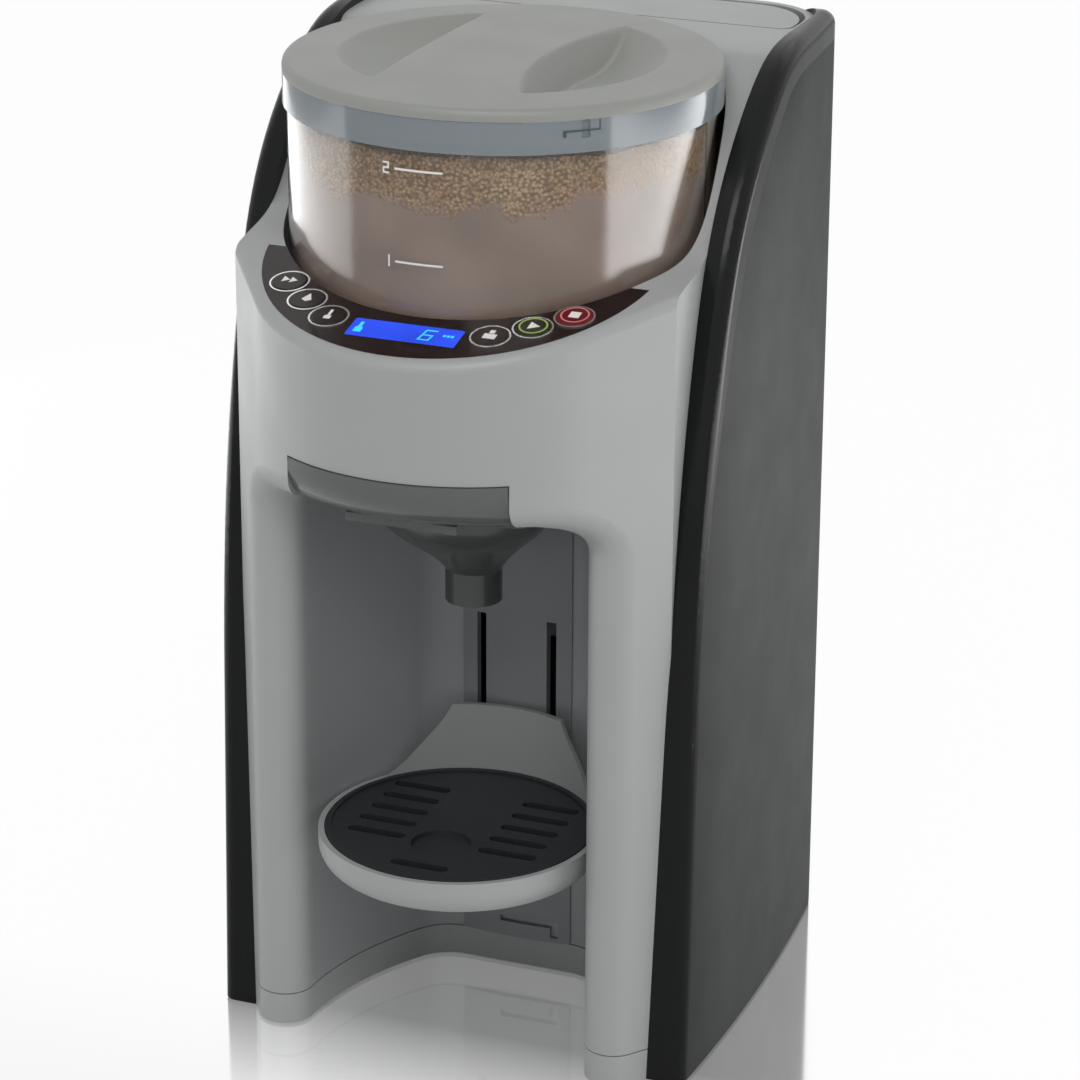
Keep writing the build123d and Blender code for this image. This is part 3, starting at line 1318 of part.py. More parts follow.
# ---------------------------------------------------------------- rear cover and mains parts
COVER_THICK = 3.0
COVER_TOP_Z = BODY_HEIGHT - REAR_CORNER_R - 1.0
WINDOW_W = 34.0
WINDOW_LOW = 62.0
WINDOW_HIGH = COVER_TOP_Z - 34.0
INLET_X = 34.0
SWITCH_X = -34.0
SOCKET_Z = 25.0
INLET_W = 27.0
INLET_H = 19.0
SWITCH_W = 19.0
SWITCH_H = 13.0

with BuildPart() as rear_cover:
    with BuildSketch(Plane.XZ.offset(-REAR_Y)):
        with Locations((0, (SEAM_Z + 0.3 + COVER_TOP_Z) / 2)):
            Rectangle(2 * (REAR_GAP_X - FREE_GAP), COVER_TOP_Z - SEAM_Z - 0.3)
        with Locations((0, (WINDOW_LOW + WINDOW_HIGH) / 2)):
            SlotOverall(WINDOW_HIGH - WINDOW_LOW, WINDOW_W, rotation=90, mode=Mode.SUBTRACT)
        with Locations((INLET_X, SOCKET_Z)):
            Rectangle(INLET_W, INLET_H, mode=Mode.SUBTRACT)
        with Locations((SWITCH_X, SOCKET_Z)):
            Rectangle(SWITCH_W, SWITCH_H, mode=Mode.SUBTRACT)
    extrude(amount=COVER_THICK)
    with Locations((0, REAR_Y - COVER_THICK, TANK_Z - 20)):
        with GridLocations(2 * REAR_GAP_X - 16, 1, 2, 1):
            Box(6, 6, SHELF_Z - TANK_Z + 20, align=(Align.CENTER, Align.MAX, Align.MIN))
finish(rear_cover, "rear_cover")

with BuildPart() as power_inlet:
    with BuildSketch(Plane.XZ.offset(-REAR_Y)):
        with Locations((INLET_X, SOCKET_Z)):
            RectangleRounded(INLET_W + 4, INLET_H + 3, 3)
    extrude(amount=-SOCKET_LIP)
    with BuildSketch(Plane.XZ.offset(-REAR_Y)):
        with Locations((INLET_X, SOCKET_Z)):
            Rectangle(INLET_W - 0.2, INLET_H - 0.2)
    extrude(amount=20)
    with BuildSketch(Plane.XZ.offset(-REAR_Y - 1)) as mouth_plan:
        with Locations((INLET_X, SOCKET_Z)):
            Rectangle(INLET_W - 5, INLET_H - 5)
        chamfer(mouth_plan.vertices().group_by(Axis.Z)[-1], 3)
    extrude(amount=17, mode=Mode.SUBTRACT)
    with BuildSketch(Plane.XZ.offset(-REAR_Y + 17)):
        with Locations((INLET_X, SOCKET_Z + 2), (INLET_X - 6, SOCKET_Z - 2), (INLET_X + 6, SOCKET_Z - 2)):
            Rectangle(1.8, 4)
    extrude(amount=-13)
finish(power_inlet, "power_inlet")

with BuildPart() as switch_frame:
    with BuildSketch(Plane.XZ.offset(-REAR_Y)):
        with Locations((SWITCH_X, SOCKET_Z)):
            RectangleRounded(SWITCH_W + 3, SWITCH_H + 3, 1.5)
            Rectangle(SWITCH_W - 3, SWITCH_H - 3, mode=Mode.SUBTRACT)
    extrude(amount=-SOCKET_LIP)
    with BuildSketch(Plane.XZ.offset(-REAR_Y)):
        with Locations((SWITCH_X, SOCKET_Z)):
            Rectangle(SWITCH_W - 0.2, SWITCH_H - 0.2)
            Rectangle(SWITCH_W - 3, SWITCH_H - 3, mode=Mode.SUBTRACT)
    extrude(amount=14)
    with Locations((SWITCH_X, REAR_Y - 12.0, SOCKET_Z)):
        Box(SWITCH_W - 0.2, 2.0, SWITCH_H - 0.2, align=(Align.CENTER, Align.MAX, Align.CENTER))
finish(switch_frame, "switch_frame")

ROCKER_Y = REAR_Y - 5.0
with BuildPart() as power_switch:
    with BuildSketch(Plane.YZ.offset(SWITCH_X)):
        with Locations((ROCKER_Y, SOCKET_Z)):
            Circle(3.0)
        with BuildLine():
            Polyline(
                (ROCKER_Y, SOCKET_Z - 4.1),
                (REAR_Y - 0.4, SOCKET_Z - 3.9),
                (REAR_Y - 1.2, SOCKET_Z),
                (REAR_Y - 0.4, SOCKET_Z + 3.9),
                (ROCKER_Y, SOCKET_Z + 4.1),
                close=True,
            )
        make_face()
    extrude(amount=SWITCH_W / 2 - 1.5 - FREE_GAP, both=True)
finish(power_switch, "power_switch")

FRAME_Y = TANK_WALL_Y - SKIN - 3.3
FRAME_T = 3.0
SHELF_X = 70.0
with BuildPart() as inner_frame:
    with Locations((0, FRAME_Y, SEAM_Z)):
        Box(
            2 * SHELF_X,
            FRAME_T,
            SEAT_Z - SEAT_T - SEAM_Z,
            align=(Align.CENTER, Align.MIN, Align.MIN),
        )
    for sign in (-1, 1):
        with Locations((sign * 62.0, BAY_BACK_Y + 8, SEAM_Z)):
            Box(
                FRAME_T,
                FRAME_Y - BAY_BACK_Y - 8,
                SEAT_Z - SEAT_T - SEAM_Z,
                align=(Align.CENTER, Align.MIN, Align.MIN),
            )
    with Locations((0, BAY_BACK_Y + 8, SEAM_Z)):
        Box(124, FRAME_Y - BAY_BACK_Y - 8, FRAME_T, align=(Align.CENTER, Align.MIN, Align.MIN))
    with BuildSketch(Plane.XZ.offset(-FRAME_Y - FRAME_T)):
        with Locations((VALVE_X, INLET_HOSE_Z)):
            RectangleRounded(12, 12, 2)
        with Locations((0, 26)):
            RectangleRounded(20, 12, 2)
    extrude(amount=FRAME_T, mode=Mode.SUBTRACT)
finish(inner_frame, "inner_frame")

FRAME_FLOOR = SEAM_Z + FRAME_T
PUMP_X = VALVE_X
PUMP_Y = FRAME_Y - 22.6
PUMP_Z = FRAME_FLOOR + 46.0
PUMP_R = 15.0
with BuildPart() as water_pump:
    with Locations((PUMP_X, PUMP_Y, FRAME_FLOOR)):
        Box(26, 34, 4, align=(Align.CENTER, Align.CENTER, Align.MIN))
    with Locations((PUMP_X, PUMP_Y, FRAME_FLOOR + 3)):
        Cylinder(PUMP_R, PUMP_Z - FRAME_FLOOR, align=(Align.CENTER, Align.CENTER, Align.MIN))
    with Locations((PUMP_X, PUMP_Y, PUMP_Z)):
        Cylinder(PUMP_R - 4, 14, align=(Align.CENTER, Align.CENTER, Align.MIN))
        Cylinder(3.0, 22, align=(Align.CENTER, Align.CENTER, Align.MIN))
    with Locations((PUMP_X, PUMP_Y + 10, INLET_HOSE_Z)):
        Cylinder(3.0, 12, rotation=(-90, 0, 0), align=(Align.CENTER, Align.CENTER, Align.MIN))
finish(water_pump, "water_pump")

HEATER_X = 6.0
HEATER_Z = 120.0
HEATER_W = 50.0
HEATER_H = 46.0
HEATER_PORT_Z = HEATER_Z + HEATER_H / 2
with BuildPart() as water_heater:
    with Locations((HEATER_X, FRAME_Y, HEATER_Z)):
        Box(HEATER_W, 26, HEATER_H, align=(Align.CENTER, Align.MAX, Align.MIN))
    fillet(water_heater.edges().filter_by(Axis.Y), 8)
    for side in (-1, 1):
        with Locations((HEATER_X + side * HEATER_W / 2, PUMP_Y, HEATER_PORT_Z)):
            Cylinder(
                3.0,
                8,
                rotation=(0, side * 90, 0),
                align=(Align.CENTER, Align.CENTER, Align.MIN),
            )
    with GridLocations(HEATER_W - 16, 1, 2, 1):
        with Locations((HEATER_X, FRAME_Y - 26, HEATER_Z + 8)):
            Box(4, 3, HEATER_H - 16, align=(Align.CENTER, Align.MAX, Align.MIN))
finish(water_heater, "water_heater")

BOARD_X = 26.0
with BuildPart() as power_board:
    with Locations((BOARD_X, FRAME_Y - 6.0, FRAME_FLOOR + 12)):
        Box(56, 1.6, 70, align=(Align.CENTER, Align.MAX, Align.MIN))
    with Locations((BOARD_X, FRAME_Y - 6.0, FRAME_FLOOR + 47)):
        with GridLocations(48, 1, 2, 1):
            for dz in (-30, 30):
                with Locations((0, 0, dz)):
                    Cylinder(
                        2.5,
                        6.0,
                        rotation=(-90, 0, 0),
                        align=(Align.CENTER, Align.CENTER, Align.MIN),
                    )
    with Locations((BOARD_X - 10, FRAME_Y - 7.6, FRAME_FLOOR + 30)):
        Box(24, 18, 22, align=(Align.CENTER, Align.MAX, Align.CENTER))
    with Locations((BOARD_X + 16, FRAME_Y - 7.6, FRAME_FLOOR + 60)):
        Cylinder(6, 16, rotation=(90, 0, 0), align=(Align.CENTER, Align.CENTER, Align.MIN))
        with Locations((-20, 0, 0)):
            Box(14, 10, 10, align=(Align.CENTER, Align.MAX, Align.CENTER))
finish(power_board, "power_board")

with BuildPart() as water_nozzle:
    with BuildSketch(Plane.XY.offset(BAY_TOP_Z + 0.2)):
        with Locations(NOZZLE_SPOT):
            Circle(NOZZLE_R)
    extrude(amount=12)
    with BuildSketch(Plane.XY.offset(BAY_TOP_Z + LINER_WALL)):
        with Locations(NOZZLE_SPOT):
            Circle(NOZZLE_R + 2)
    extrude(amount=1.5)
    with BuildSketch(Plane.XY.offset(BAY_TOP_Z)):
        with Locations(NOZZLE_SPOT):
            Circle(1.5)
    extrude(amount=20, mode=Mode.SUBTRACT)
finish(water_nozzle, "water_nozzle")

HOSE_R = 3.0
HOSE_BEND = 6.5
HOSE_RISE = 7.5


def hose(points):
    """Closed tube solid along straight runs joined by tangent arcs."""
    first = Vector(*points[0])
    run = Vector(*points[1]) - first
    with BuildPart() as tube:
        with BuildLine() as path:
            FilletPolyline(*points, radius=HOSE_BEND)
        with BuildSketch(Plane(origin=first, z_dir=run)):
            Circle(HOSE_R)
        sweep(path=path.line)
    return tube.part


HEATER_PORT_X = HEATER_X + HEATER_W / 2 + 8
NOZZLE_HOSE_Z = BAY_TOP_Z + 12.2
nozzle_x, nozzle_y = NOZZLE_SPOT
HOSE_ROUTES = {
    "inlet_hose": [
        (VALVE_X, TANK_MID_Y, SHELF_Z - 8),
        (VALVE_X, TANK_MID_Y, INLET_HOSE_Z),
        (VALVE_X, PUMP_Y + 22, INLET_HOSE_Z),
    ],
    "heater_hose": [
        (PUMP_X, PUMP_Y, PUMP_Z + 22),
        (PUMP_X, PUMP_Y, HEATER_PORT_Z),
        (HEATER_X - HEATER_W / 2 - 8, PUMP_Y, HEATER_PORT_Z),
    ],
    "outlet_hose": [
        (HEATER_PORT_X, PUMP_Y, HEATER_PORT_Z),
        (HEATER_PORT_X + 9, PUMP_Y, HEATER_PORT_Z),
        (HEATER_PORT_X + 9, PUMP_Y, NOZZLE_HOSE_Z + HOSE_RISE),
        (nozzle_x + 24, nozzle_y, NOZZLE_HOSE_Z + HOSE_RISE),
        (nozzle_x, nozzle_y, NOZZLE_HOSE_Z + HOSE_RISE),
        (nozzle_x, nozzle_y, NOZZLE_HOSE_Z),
    ],
}
for name, route in HOSE_ROUTES.items():
    tube = hose(route)
    with BuildPart() as hose_part:
        add(tube)
    finish(hose_part, name)
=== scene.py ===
from math import atan, cos, pi, radians, sin, sqrt

import bmesh
import bpy
from mathutils import Matrix, Vector, noise


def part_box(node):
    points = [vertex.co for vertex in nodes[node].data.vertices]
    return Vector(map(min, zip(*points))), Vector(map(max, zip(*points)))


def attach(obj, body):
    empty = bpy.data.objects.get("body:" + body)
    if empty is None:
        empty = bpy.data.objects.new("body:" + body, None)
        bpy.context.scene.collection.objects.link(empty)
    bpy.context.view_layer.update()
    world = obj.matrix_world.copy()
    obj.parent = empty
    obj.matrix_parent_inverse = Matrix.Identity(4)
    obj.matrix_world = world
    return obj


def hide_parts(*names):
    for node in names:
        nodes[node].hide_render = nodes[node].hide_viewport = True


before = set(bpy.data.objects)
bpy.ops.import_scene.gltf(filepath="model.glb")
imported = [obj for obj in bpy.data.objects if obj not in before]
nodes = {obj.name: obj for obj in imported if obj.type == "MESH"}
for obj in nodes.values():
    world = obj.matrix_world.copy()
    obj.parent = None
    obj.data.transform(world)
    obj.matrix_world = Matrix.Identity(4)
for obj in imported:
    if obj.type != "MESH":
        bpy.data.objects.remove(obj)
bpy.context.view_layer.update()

# ---------------------------------------------------------------- sizes, in metres
MM = 0.001
CAN_Y = -10 * MM                       # axis of the powder container and its lid
lid_low, lid_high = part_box("lid_cap")
can_low, can_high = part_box("powder_container")
band_low, band_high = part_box("container_band")
window_low, window_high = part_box("display_window")
CAN_R = (can_high.x - can_low.x) / 2
BAND_R = (band_high.x - band_low.x) / 2
CAN_WALL = 2.2 * MM
LEDGE_SLOPE = 0.235                    # fall of the control ledge towards the front
WINDOW_FACE = 0.85 * MM                # face of the display above the middle of its box
PRINT = 0.06 * MM                      # thickness of printed marks
MARK_GAP = 0.02 * MM                   # marks in front of the wall that carries them
MERGE = 0.01 * MM                      # points nearer than this are one point
POWDER_FLOOR_Z = 277 * MM
POWDER_DROP = 1.8 * MM                 # powder below the frosted band
POWDER_GAP = 0.15 * MM                 # powder inside the container's wall
CRUMB_LOW_Z = 313.0 * MM               # between these heights the smooth powder
CRUMB_HIGH_Z = 318.5 * MM              # turns into coarse crumbs
LEVEL_HEIGHTS = {"2": 327.5 * MM, "1": 296.0 * MM}
SLOT_Z = 341.6 * MM                    # bayonet slot in the frosted band
SLOT_START = 37                        # its ends, in degrees from the front
SLOT_END = 47


# ---------------------------------------------------------------- materials
def srgb(r, g, b):
    """Linear colour of an 8-bit screen colour."""
    values = []
    for v in (r, g, b):
        v = v / 255
        values.append(v / 12.92 if v <= 0.04045 else ((v + 0.055) / 1.055) ** 2.4)
    return (*values, 1.0)


def new_material(name):
    """A material, its node tree and its Principled shader."""
    material = bpy.data.materials.new(name)
    material.use_nodes = True
    tree = material.node_tree
    return material, tree, tree.nodes["Principled BSDF"]


def add_noise(tree, scale, detail=2.0, rough=0.5, stretch=None):
    """Noise in the object's own coordinates, in metres."""
    coords = tree.nodes.new("ShaderNodeTexCoord")
    source = coords.outputs["Object"]
    if stretch:
        mapping = tree.nodes.new("ShaderNodeMapping")
        mapping.inputs["Scale"].default_value = stretch
        tree.links.new(source, mapping.inputs["Vector"])
        source = mapping.outputs["Vector"]
    node = tree.nodes.new("ShaderNodeTexNoise")
    node.inputs["Scale"].default_value = scale
    node.inputs["Detail"].default_value = detail
    node.inputs["Roughness"].default_value = rough
    tree.links.new(source, node.inputs["Vector"])
    return node.outputs["Fac"]


def add_ramp(tree, source, low, high, start=0.3, end=0.7):
    """Two colours across a stretch of a value."""
    ramp = tree.nodes.new("ShaderNodeValToRGB")
    ramp.color_ramp.elements[0].position = start
    ramp.color_ramp.elements[1].position = end
    ramp.color_ramp.elements[0].color = low
    ramp.color_ramp.elements[1].color = high
    tree.links.new(source, ramp.inputs["Fac"])
    return ramp.outputs["Color"]


def add_range(tree, source, low, high, start=0.3, end=0.7):
    """A value mapped from one stretch to another."""
    node = tree.nodes.new("ShaderNodeMapRange")
    node.inputs["From Min"].default_value = start
    node.inputs["From Max"].default_value = end
    node.inputs["To Min"].default_value = low
    node.inputs["To Max"].default_value = high
    tree.links.new(source, node.inputs["Value"])
    return node.outputs["Result"]


def add_bump(tree, shader, source, depth):
    """Small relief from a value; depth in metres."""
    bump = tree.nodes.new("ShaderNodeBump")
    bump.inputs["Strength"].default_value = 1.0
    bump.inputs["Distance"].default_value = depth
    tree.links.new(source, bump.inputs["Height"])
    tree.links.new(bump.outputs["Normal"], shader.inputs["Normal"])


def shade(colour, factor):
    """A darker or lighter version of a colour."""
    return (*[min(1.0, c * factor) for c in colour[:3]], 1.0)


MOTTLE_SCALE = 18.0                    # noise scales of the plastics, per metre
WEAR_SCALE = 45.0
GRAIN_SCALE = 2600.0


def finish_plastic(tree, shader, roughness, gloss, grain):
    """Uneven gloss and a fine grain, whose depth is in millimetres."""
    wear = add_noise(tree, WEAR_SCALE, 4.0)
    tree.links.new(
        add_range(tree, wear, roughness - 0.03, roughness + 0.04), shader.inputs["Roughness"]
    )
    shader.inputs["Specular IOR Level"].default_value = gloss
    add_bump(tree, shader, add_noise(tree, GRAIN_SCALE, 1.0), grain * MM)


def moulded(name, colour, roughness, gloss=0.5, grain=0.02, spread=0.03):
    """Moulded plastic: faint mottle, uneven gloss and a fine grain."""
    material, tree, shader = new_material(name)
    mottle = add_noise(tree, MOTTLE_SCALE, 3.0)
    tree.links.new(
        add_ramp(tree, mottle, shade(colour, 1 - spread), shade(colour, 1 + spread)),
        shader.inputs["Base Color"],
    )
    finish_plastic(tree, shader, roughness, gloss, grain)
    return material


EDGE_MARGIN = 0.004                    # share of the panel's height left out at each end
SHADE_EDGE_RAGGED = 0.02                     # how far the mottle shifts the painted edge shade
SHADE_EDGE_START = 0.02                      # the painted edge shade fades between these shares of the panel's depth
SHADE_EDGE_END = 0.20                        # of the panel's depth


def panel_edge(steps=16):
    """Front edge of a side panel: its smallest y at evenly spaced heights."""
    mesh = nodes["side_panel_right"].data
    low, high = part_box("side_panel_right")
    edge = [high.y] * steps
    for side in mesh.edges:
        a, b = sorted((mesh.vertices[i].co for i in side.vertices), key=lambda c: c.z)
        for i in range(steps):
            share = EDGE_MARGIN + (1 - 2 * EDGE_MARGIN) * i / (steps - 1)
            z = low.z + (high.z - low.z) * share
            if a.z <= z < b.z:
                edge[i] = min(edge[i], a.y + (b.y - a.y) * (z - a.z) / (b.z - a.z))
    return edge, low, high


def panel_plastic_painted_edge_shade(name, edge_shade_colour, colour, roughness, gloss):
    """Side panel plastic with painted shade that darkens it towards its rounded front edge."""
    material, tree, shader = new_material(name)
    edge, low, high = panel_edge()
    span = high.y - low.y
    coords = tree.nodes.new("ShaderNodeTexCoord")
    split = tree.nodes.new("ShaderNodeSeparateXYZ")
    tree.links.new(coords.outputs["Object"], split.inputs["Vector"])
    height = add_range(tree, split.outputs["Z"], 0.0, 1.0, low.z, high.z)
    curve = tree.nodes.new("ShaderNodeValToRGB")
    stops = curve.color_ramp.elements
    for i, y in enumerate(edge):
        place = i / (len(edge) - 1)
        if i in (0, len(edge) - 1):
            stop = stops[0] if i == 0 else stops[len(stops) - 1]
        else:
            stop = stops.new(place)
        value = (y - low.y) / span
        stop.color = (value, value, value, 1.0)
    tree.links.new(height, curve.inputs["Fac"])
    along = add_range(tree, split.outputs["Y"], 0.0, 1.0, low.y, high.y)
    reach = tree.nodes.new("ShaderNodeMath")
    reach.operation = "SUBTRACT"
    tree.links.new(along, reach.inputs[0])
    tree.links.new(curve.outputs["Color"], reach.inputs[1])
    mottle = add_noise(tree, MOTTLE_SCALE, 3.0)
    ragged_edge_shade = tree.nodes.new("ShaderNodeMath")
    ragged_edge_shade.operation = "MULTIPLY_ADD"
    tree.links.new(mottle, ragged_edge_shade.inputs[0])
    ragged_edge_shade.inputs[1].default_value = SHADE_EDGE_RAGGED
    tree.links.new(reach.outputs["Value"], ragged_edge_shade.inputs[2])
    # painted shade: the near-black rim colour at the front edge stands in for the dark reflection
    # of the rounded edge
    tone = add_ramp(tree, ragged_edge_shade.outputs["Value"], edge_shade_colour, colour, SHADE_EDGE_START, SHADE_EDGE_END)
    tree.links.new(tone, shader.inputs["Base Color"])
    finish_plastic(tree, shader, roughness, gloss, 0.02)
    return material


def clear(name, colour, roughness, haze=0.0):
    """Clear plastic that lets the lamps through to what it holds."""
    material, tree, shader = new_material(name)
    shader.inputs["Base Color"].default_value = colour
    shader.inputs["Transmission Weight"].default_value = 1.0 - haze
    shader.inputs["IOR"].default_value = 1.46
    smear = add_noise(tree, 30.0, 3.0)
    tree.links.new(
        add_range(tree, smear, roughness, roughness + 0.02), shader.inputs["Roughness"]
    )
    path = tree.nodes.new("ShaderNodeLightPath")
    open_way = tree.nodes.new("ShaderNodeBsdfTransparent")
    open_way.inputs["Color"].default_value = shade(colour, 0.97)
    mix = tree.nodes.new("ShaderNodeMixShader")
    output = tree.nodes["Material Output"]
    tree.links.new(path.outputs["Is Shadow Ray"], mix.inputs["Fac"])
    tree.links.new(shader.outputs["BSDF"], mix.inputs[1])
    tree.links.new(open_way.outputs["BSDF"], mix.inputs[2])
    tree.links.new(mix.outputs["Shader"], output.inputs["Surface"])
    return material


def metal(name, colour, roughness, brushed=False):
    """Bare metal, polished or brushed."""
    material, tree, shader = new_material(name)
    shader.inputs["Metallic"].default_value = 1.0
    stretch = (1.0, 1.0, 30.0) if brushed else None
    streaks = add_noise(tree, 300.0, 3.0, stretch=stretch)
    tree.links.new(
        add_ramp(tree, streaks, shade(colour, 0.92), shade(colour, 1.05)),
        shader.inputs["Base Color"],
    )
    tree.links.new(
        add_range(tree, streaks, roughness - 0.03, roughness + 0.06),
        shader.inputs["Roughness"],
    )
    return material


def rubber(name, colour):
    """Dull rubber with a coarse grain."""
    return moulded(name, colour, 0.75, gloss=0.3, grain=0.06, spread=0.08)


def lit(name, colour):
    """Backlit plastic of the display, slightly uneven."""
    material, tree, shader = new_material(name)
    glow = add_noise(tree, 60.0, 1.0)
    tone = add_ramp(tree, glow, shade(colour, 0.85), shade(colour, 1.1))
    tree.links.new(tone, shader.inputs["Emission Color"])
    tree.links.new(
        add_ramp(tree, glow, shade(colour, 0.04), shade(colour, 0.08)), shader.inputs["Base Color"]
    )
    shader.inputs["Emission Strength"].default_value = 1.0
    shader.inputs["Specular IOR Level"].default_value = 0.2
    shader.inputs["Roughness"].default_value = 0.25
    return material


def powder_grain(name):
    """Milk powder: coarse brown crumbs on top of a smooth, dull brown body."""
    material, tree, shader = new_material(name)
    coords = tree.nodes.new("ShaderNodeTexCoord")
    split = tree.nodes.new("ShaderNodeSeparateXYZ")
    tree.links.new(coords.outputs["Object"], split.inputs["Vector"])
    edge = add_noise(tree, 55.0, 5.0, 0.65)
    shift = add_range(tree, edge, -9 * MM, 9 * MM, 0.2, 0.8)
    height = tree.nodes.new("ShaderNodeMath")
    height.operation = "ADD"
    tree.links.new(split.outputs["Z"], height.inputs[0])
    tree.links.new(shift, height.inputs[1])
    coarse = add_range(
        tree, height.outputs["Value"], 0.0, 1.0, CRUMB_LOW_Z, CRUMB_HIGH_Z
    )

    crumbs = tree.nodes.new("ShaderNodeTexVoronoi")
    crumbs.inputs["Scale"].default_value = 850.0
    tree.links.new(coords.outputs["Object"], crumbs.inputs["Vector"])
    crumb_tone = add_ramp(
        tree, crumbs.outputs["Distance"], srgb(182, 162, 134), srgb(104, 85, 62), 0.05, 0.75
    )
    patches = add_ramp(
        tree, add_noise(tree, 60.0, 4.0), srgb(206, 178, 136), srgb(250, 240, 226)
    )
    crumb_mix = tree.nodes.new("ShaderNodeMix")
    crumb_mix.data_type = "RGBA"
    crumb_mix.blend_type = "MULTIPLY"
    crumb_mix.inputs["Factor"].default_value = 0.85
    tree.links.new(crumb_tone, crumb_mix.inputs["A"])
    tree.links.new(patches, crumb_mix.inputs["B"])
    body = add_ramp(
        tree, add_noise(tree, 35.0, 3.0), srgb(102, 86, 75), srgb(122, 105, 94)
    )
    tone = tree.nodes.new("ShaderNodeMix")
    tone.data_type = "RGBA"
    tree.links.new(coarse, tone.inputs["Factor"])
    tree.links.new(body, tone.inputs["A"])
    tree.links.new(crumb_mix.outputs["Result"], tone.inputs["B"])
    tree.links.new(tone.outputs["Result"], shader.inputs["Base Color"])
    shader.inputs["Roughness"].default_value = 0.9
    relief = tree.nodes.new("ShaderNodeMath")
    relief.operation = "MULTIPLY"
    tree.links.new(coarse, relief.inputs[0])
    tree.links.new(crumbs.outputs["Distance"], relief.inputs[1])
    add_bump(tree, shader, relief.outputs["Value"], 0.8 * MM)
    return material


silver = moulded("silver_plastic", srgb(160, 161, 160), 0.42, spread=0.012)
lid_silver = moulded("lid_plastic", srgb(143, 144, 139), 0.46, spread=0.015)
# side panels: dark grey plastic, with painted shade along their front edges
dark_panel_with_painted_shade = panel_plastic_painted_edge_shade("dark_plastic", srgb(14, 15, 15), srgb(43, 45, 44), 0.45, 0.14)
black_gloss = moulded("black_gloss", srgb(18, 19, 20), 0.20, gloss=0.16, grain=0.0)
black = moulded("black_plastic", srgb(34, 35, 37), 0.45, gloss=0.4)
grille_black = moulded("grille_plastic", srgb(38, 40, 43), 0.42, gloss=0.45, grain=0.03)
panel_black = moulded("panel_gloss", srgb(28, 12, 12), 0.12, gloss=0.22, grain=0.0)
stop_tone = moulded("stop_gloss", srgb(104, 16, 24), 0.15, gloss=0.25, grain=0.0)
start_tone = moulded("start_gloss", srgb(30, 34, 14), 0.15, gloss=0.25, grain=0.0)
bay_tone = moulded("bay_plastic", srgb(154, 156, 157), 0.46, gloss=0.35, spread=0.012)
# back plate: the silver plastic painted darker, as painted shade of the deep bay
plate_painted_shade = moulded("plate_plastic_painted_shade", srgb(134, 136, 138), 0.46, gloss=0.3, spread=0.012)
funnel_tone = moulded("funnel_plastic", srgb(66, 68, 67), 0.22, gloss=0.5, spread=0.02)
white = moulded("white_plastic", srgb(226, 226, 222), 0.40)
board = moulded("circuit_board", srgb(32, 92, 54), 0.45)
clear_tone = clear("clear_plastic", (0.97, 0.97, 0.97, 1.0), 0.12)
frosted = clear("frosted_plastic", srgb(166, 174, 178), 0.10, haze=0.45)
smoke = clear("smoke_plastic", srgb(140, 143, 142), 0.08, haze=0.35)
tank_tone = clear("tank_plastic", srgb(205, 212, 216), 0.06)
chrome = metal("chrome", (0.82, 0.82, 0.82, 1.0), 0.10)
steel = metal("brushed_steel", (0.60, 0.60, 0.61, 1.0), 0.30, brushed=True)
cast_metal = metal("cast_metal", (0.62, 0.62, 0.63, 1.0), 0.45)
rubber_black = rubber("rubber_black", srgb(34, 34, 35))
rubber_clear = rubber("rubber_clear", srgb(214, 210, 200))
display_blue = lit("display_blue", srgb(40, 78, 238))
display_cyan = lit("display_cyan", srgb(70, 214, 250))
print_white = moulded("printed_white", srgb(236, 232, 226), 0.5, grain=0.0)
print_dark = moulded("printed_dark", srgb(58, 72, 84), 0.4, grain=0.0)
ring_green = moulded("ring_green", srgb(150, 178, 84), 0.35, grain=0.0)
ring_red = moulded("ring_red", srgb(206, 120, 128), 0.35, grain=0.0)

NODE_MATERIALS = {
    silver: ["base_housing", "front_shell", "drip_tray", "tank_lid"],
    lid_silver: ["lid_cap"],
    dark_panel_with_painted_shade: ["side_panel_left", "side_panel_right"],
    black_gloss: ["side_trim_left", "side_trim_right", "power_switch"],
    black: [
        "base_plate", "rear_cover", "inner_frame", "container_seat", "tank_shelf",
        "power_inlet", "switch_frame", "drive_coupling", "water_pump",
    ],
    funnel_tone: ["funnel"],
    grille_black: ["tray_grille"],
    panel_black: [
        "control_panel", "speed_button", "water_button", "warmth_button", "amount_button",
    ],
    stop_tone: ["stop_button"],
    start_tone: ["start_button"],
    bay_tone: ["bay_liner"],
    plate_painted_shade: ["back_plate"],
    white: [
        "container_base", "dosing_wheel", "stirring_wheel", "lid_insert", "drive_gear",
        "motor_pinion", "tank_valve", "water_nozzle",
    ],
    board: ["control_board", "power_board"],
    clear_tone: ["powder_container"],
    frosted: ["container_band"],
    smoke: ["funnel_visor"],
    tank_tone: ["water_tank"],
    chrome: ["button_rings"],
    steel: ["base_screws", "tank_hinge_pin", "gear_plate", "powder_motor"],
    cast_metal: ["water_heater"],
    rubber_black: ["feet"],
    rubber_clear: ["lid_seal", "tank_seal", "inlet_hose", "heater_hose", "outlet_hose"],
    display_blue: ["display_window"],
}
for material, names in NODE_MATERIALS.items():
    for name in names:
        nodes[name].data.materials.clear()
        nodes[name].data.materials.append(material)


# ---------------------------------------------------------------- mesh helpers
def finish_mesh(name, bm, tidy_faces=False):
    """A named mesh from the points and faces built so far."""
    if tidy_faces:
        bmesh.ops.recalc_face_normals(bm, faces=bm.faces)
    mesh = bpy.data.meshes.new(name)
    bm.to_mesh(mesh)
    bm.free()
    return mesh


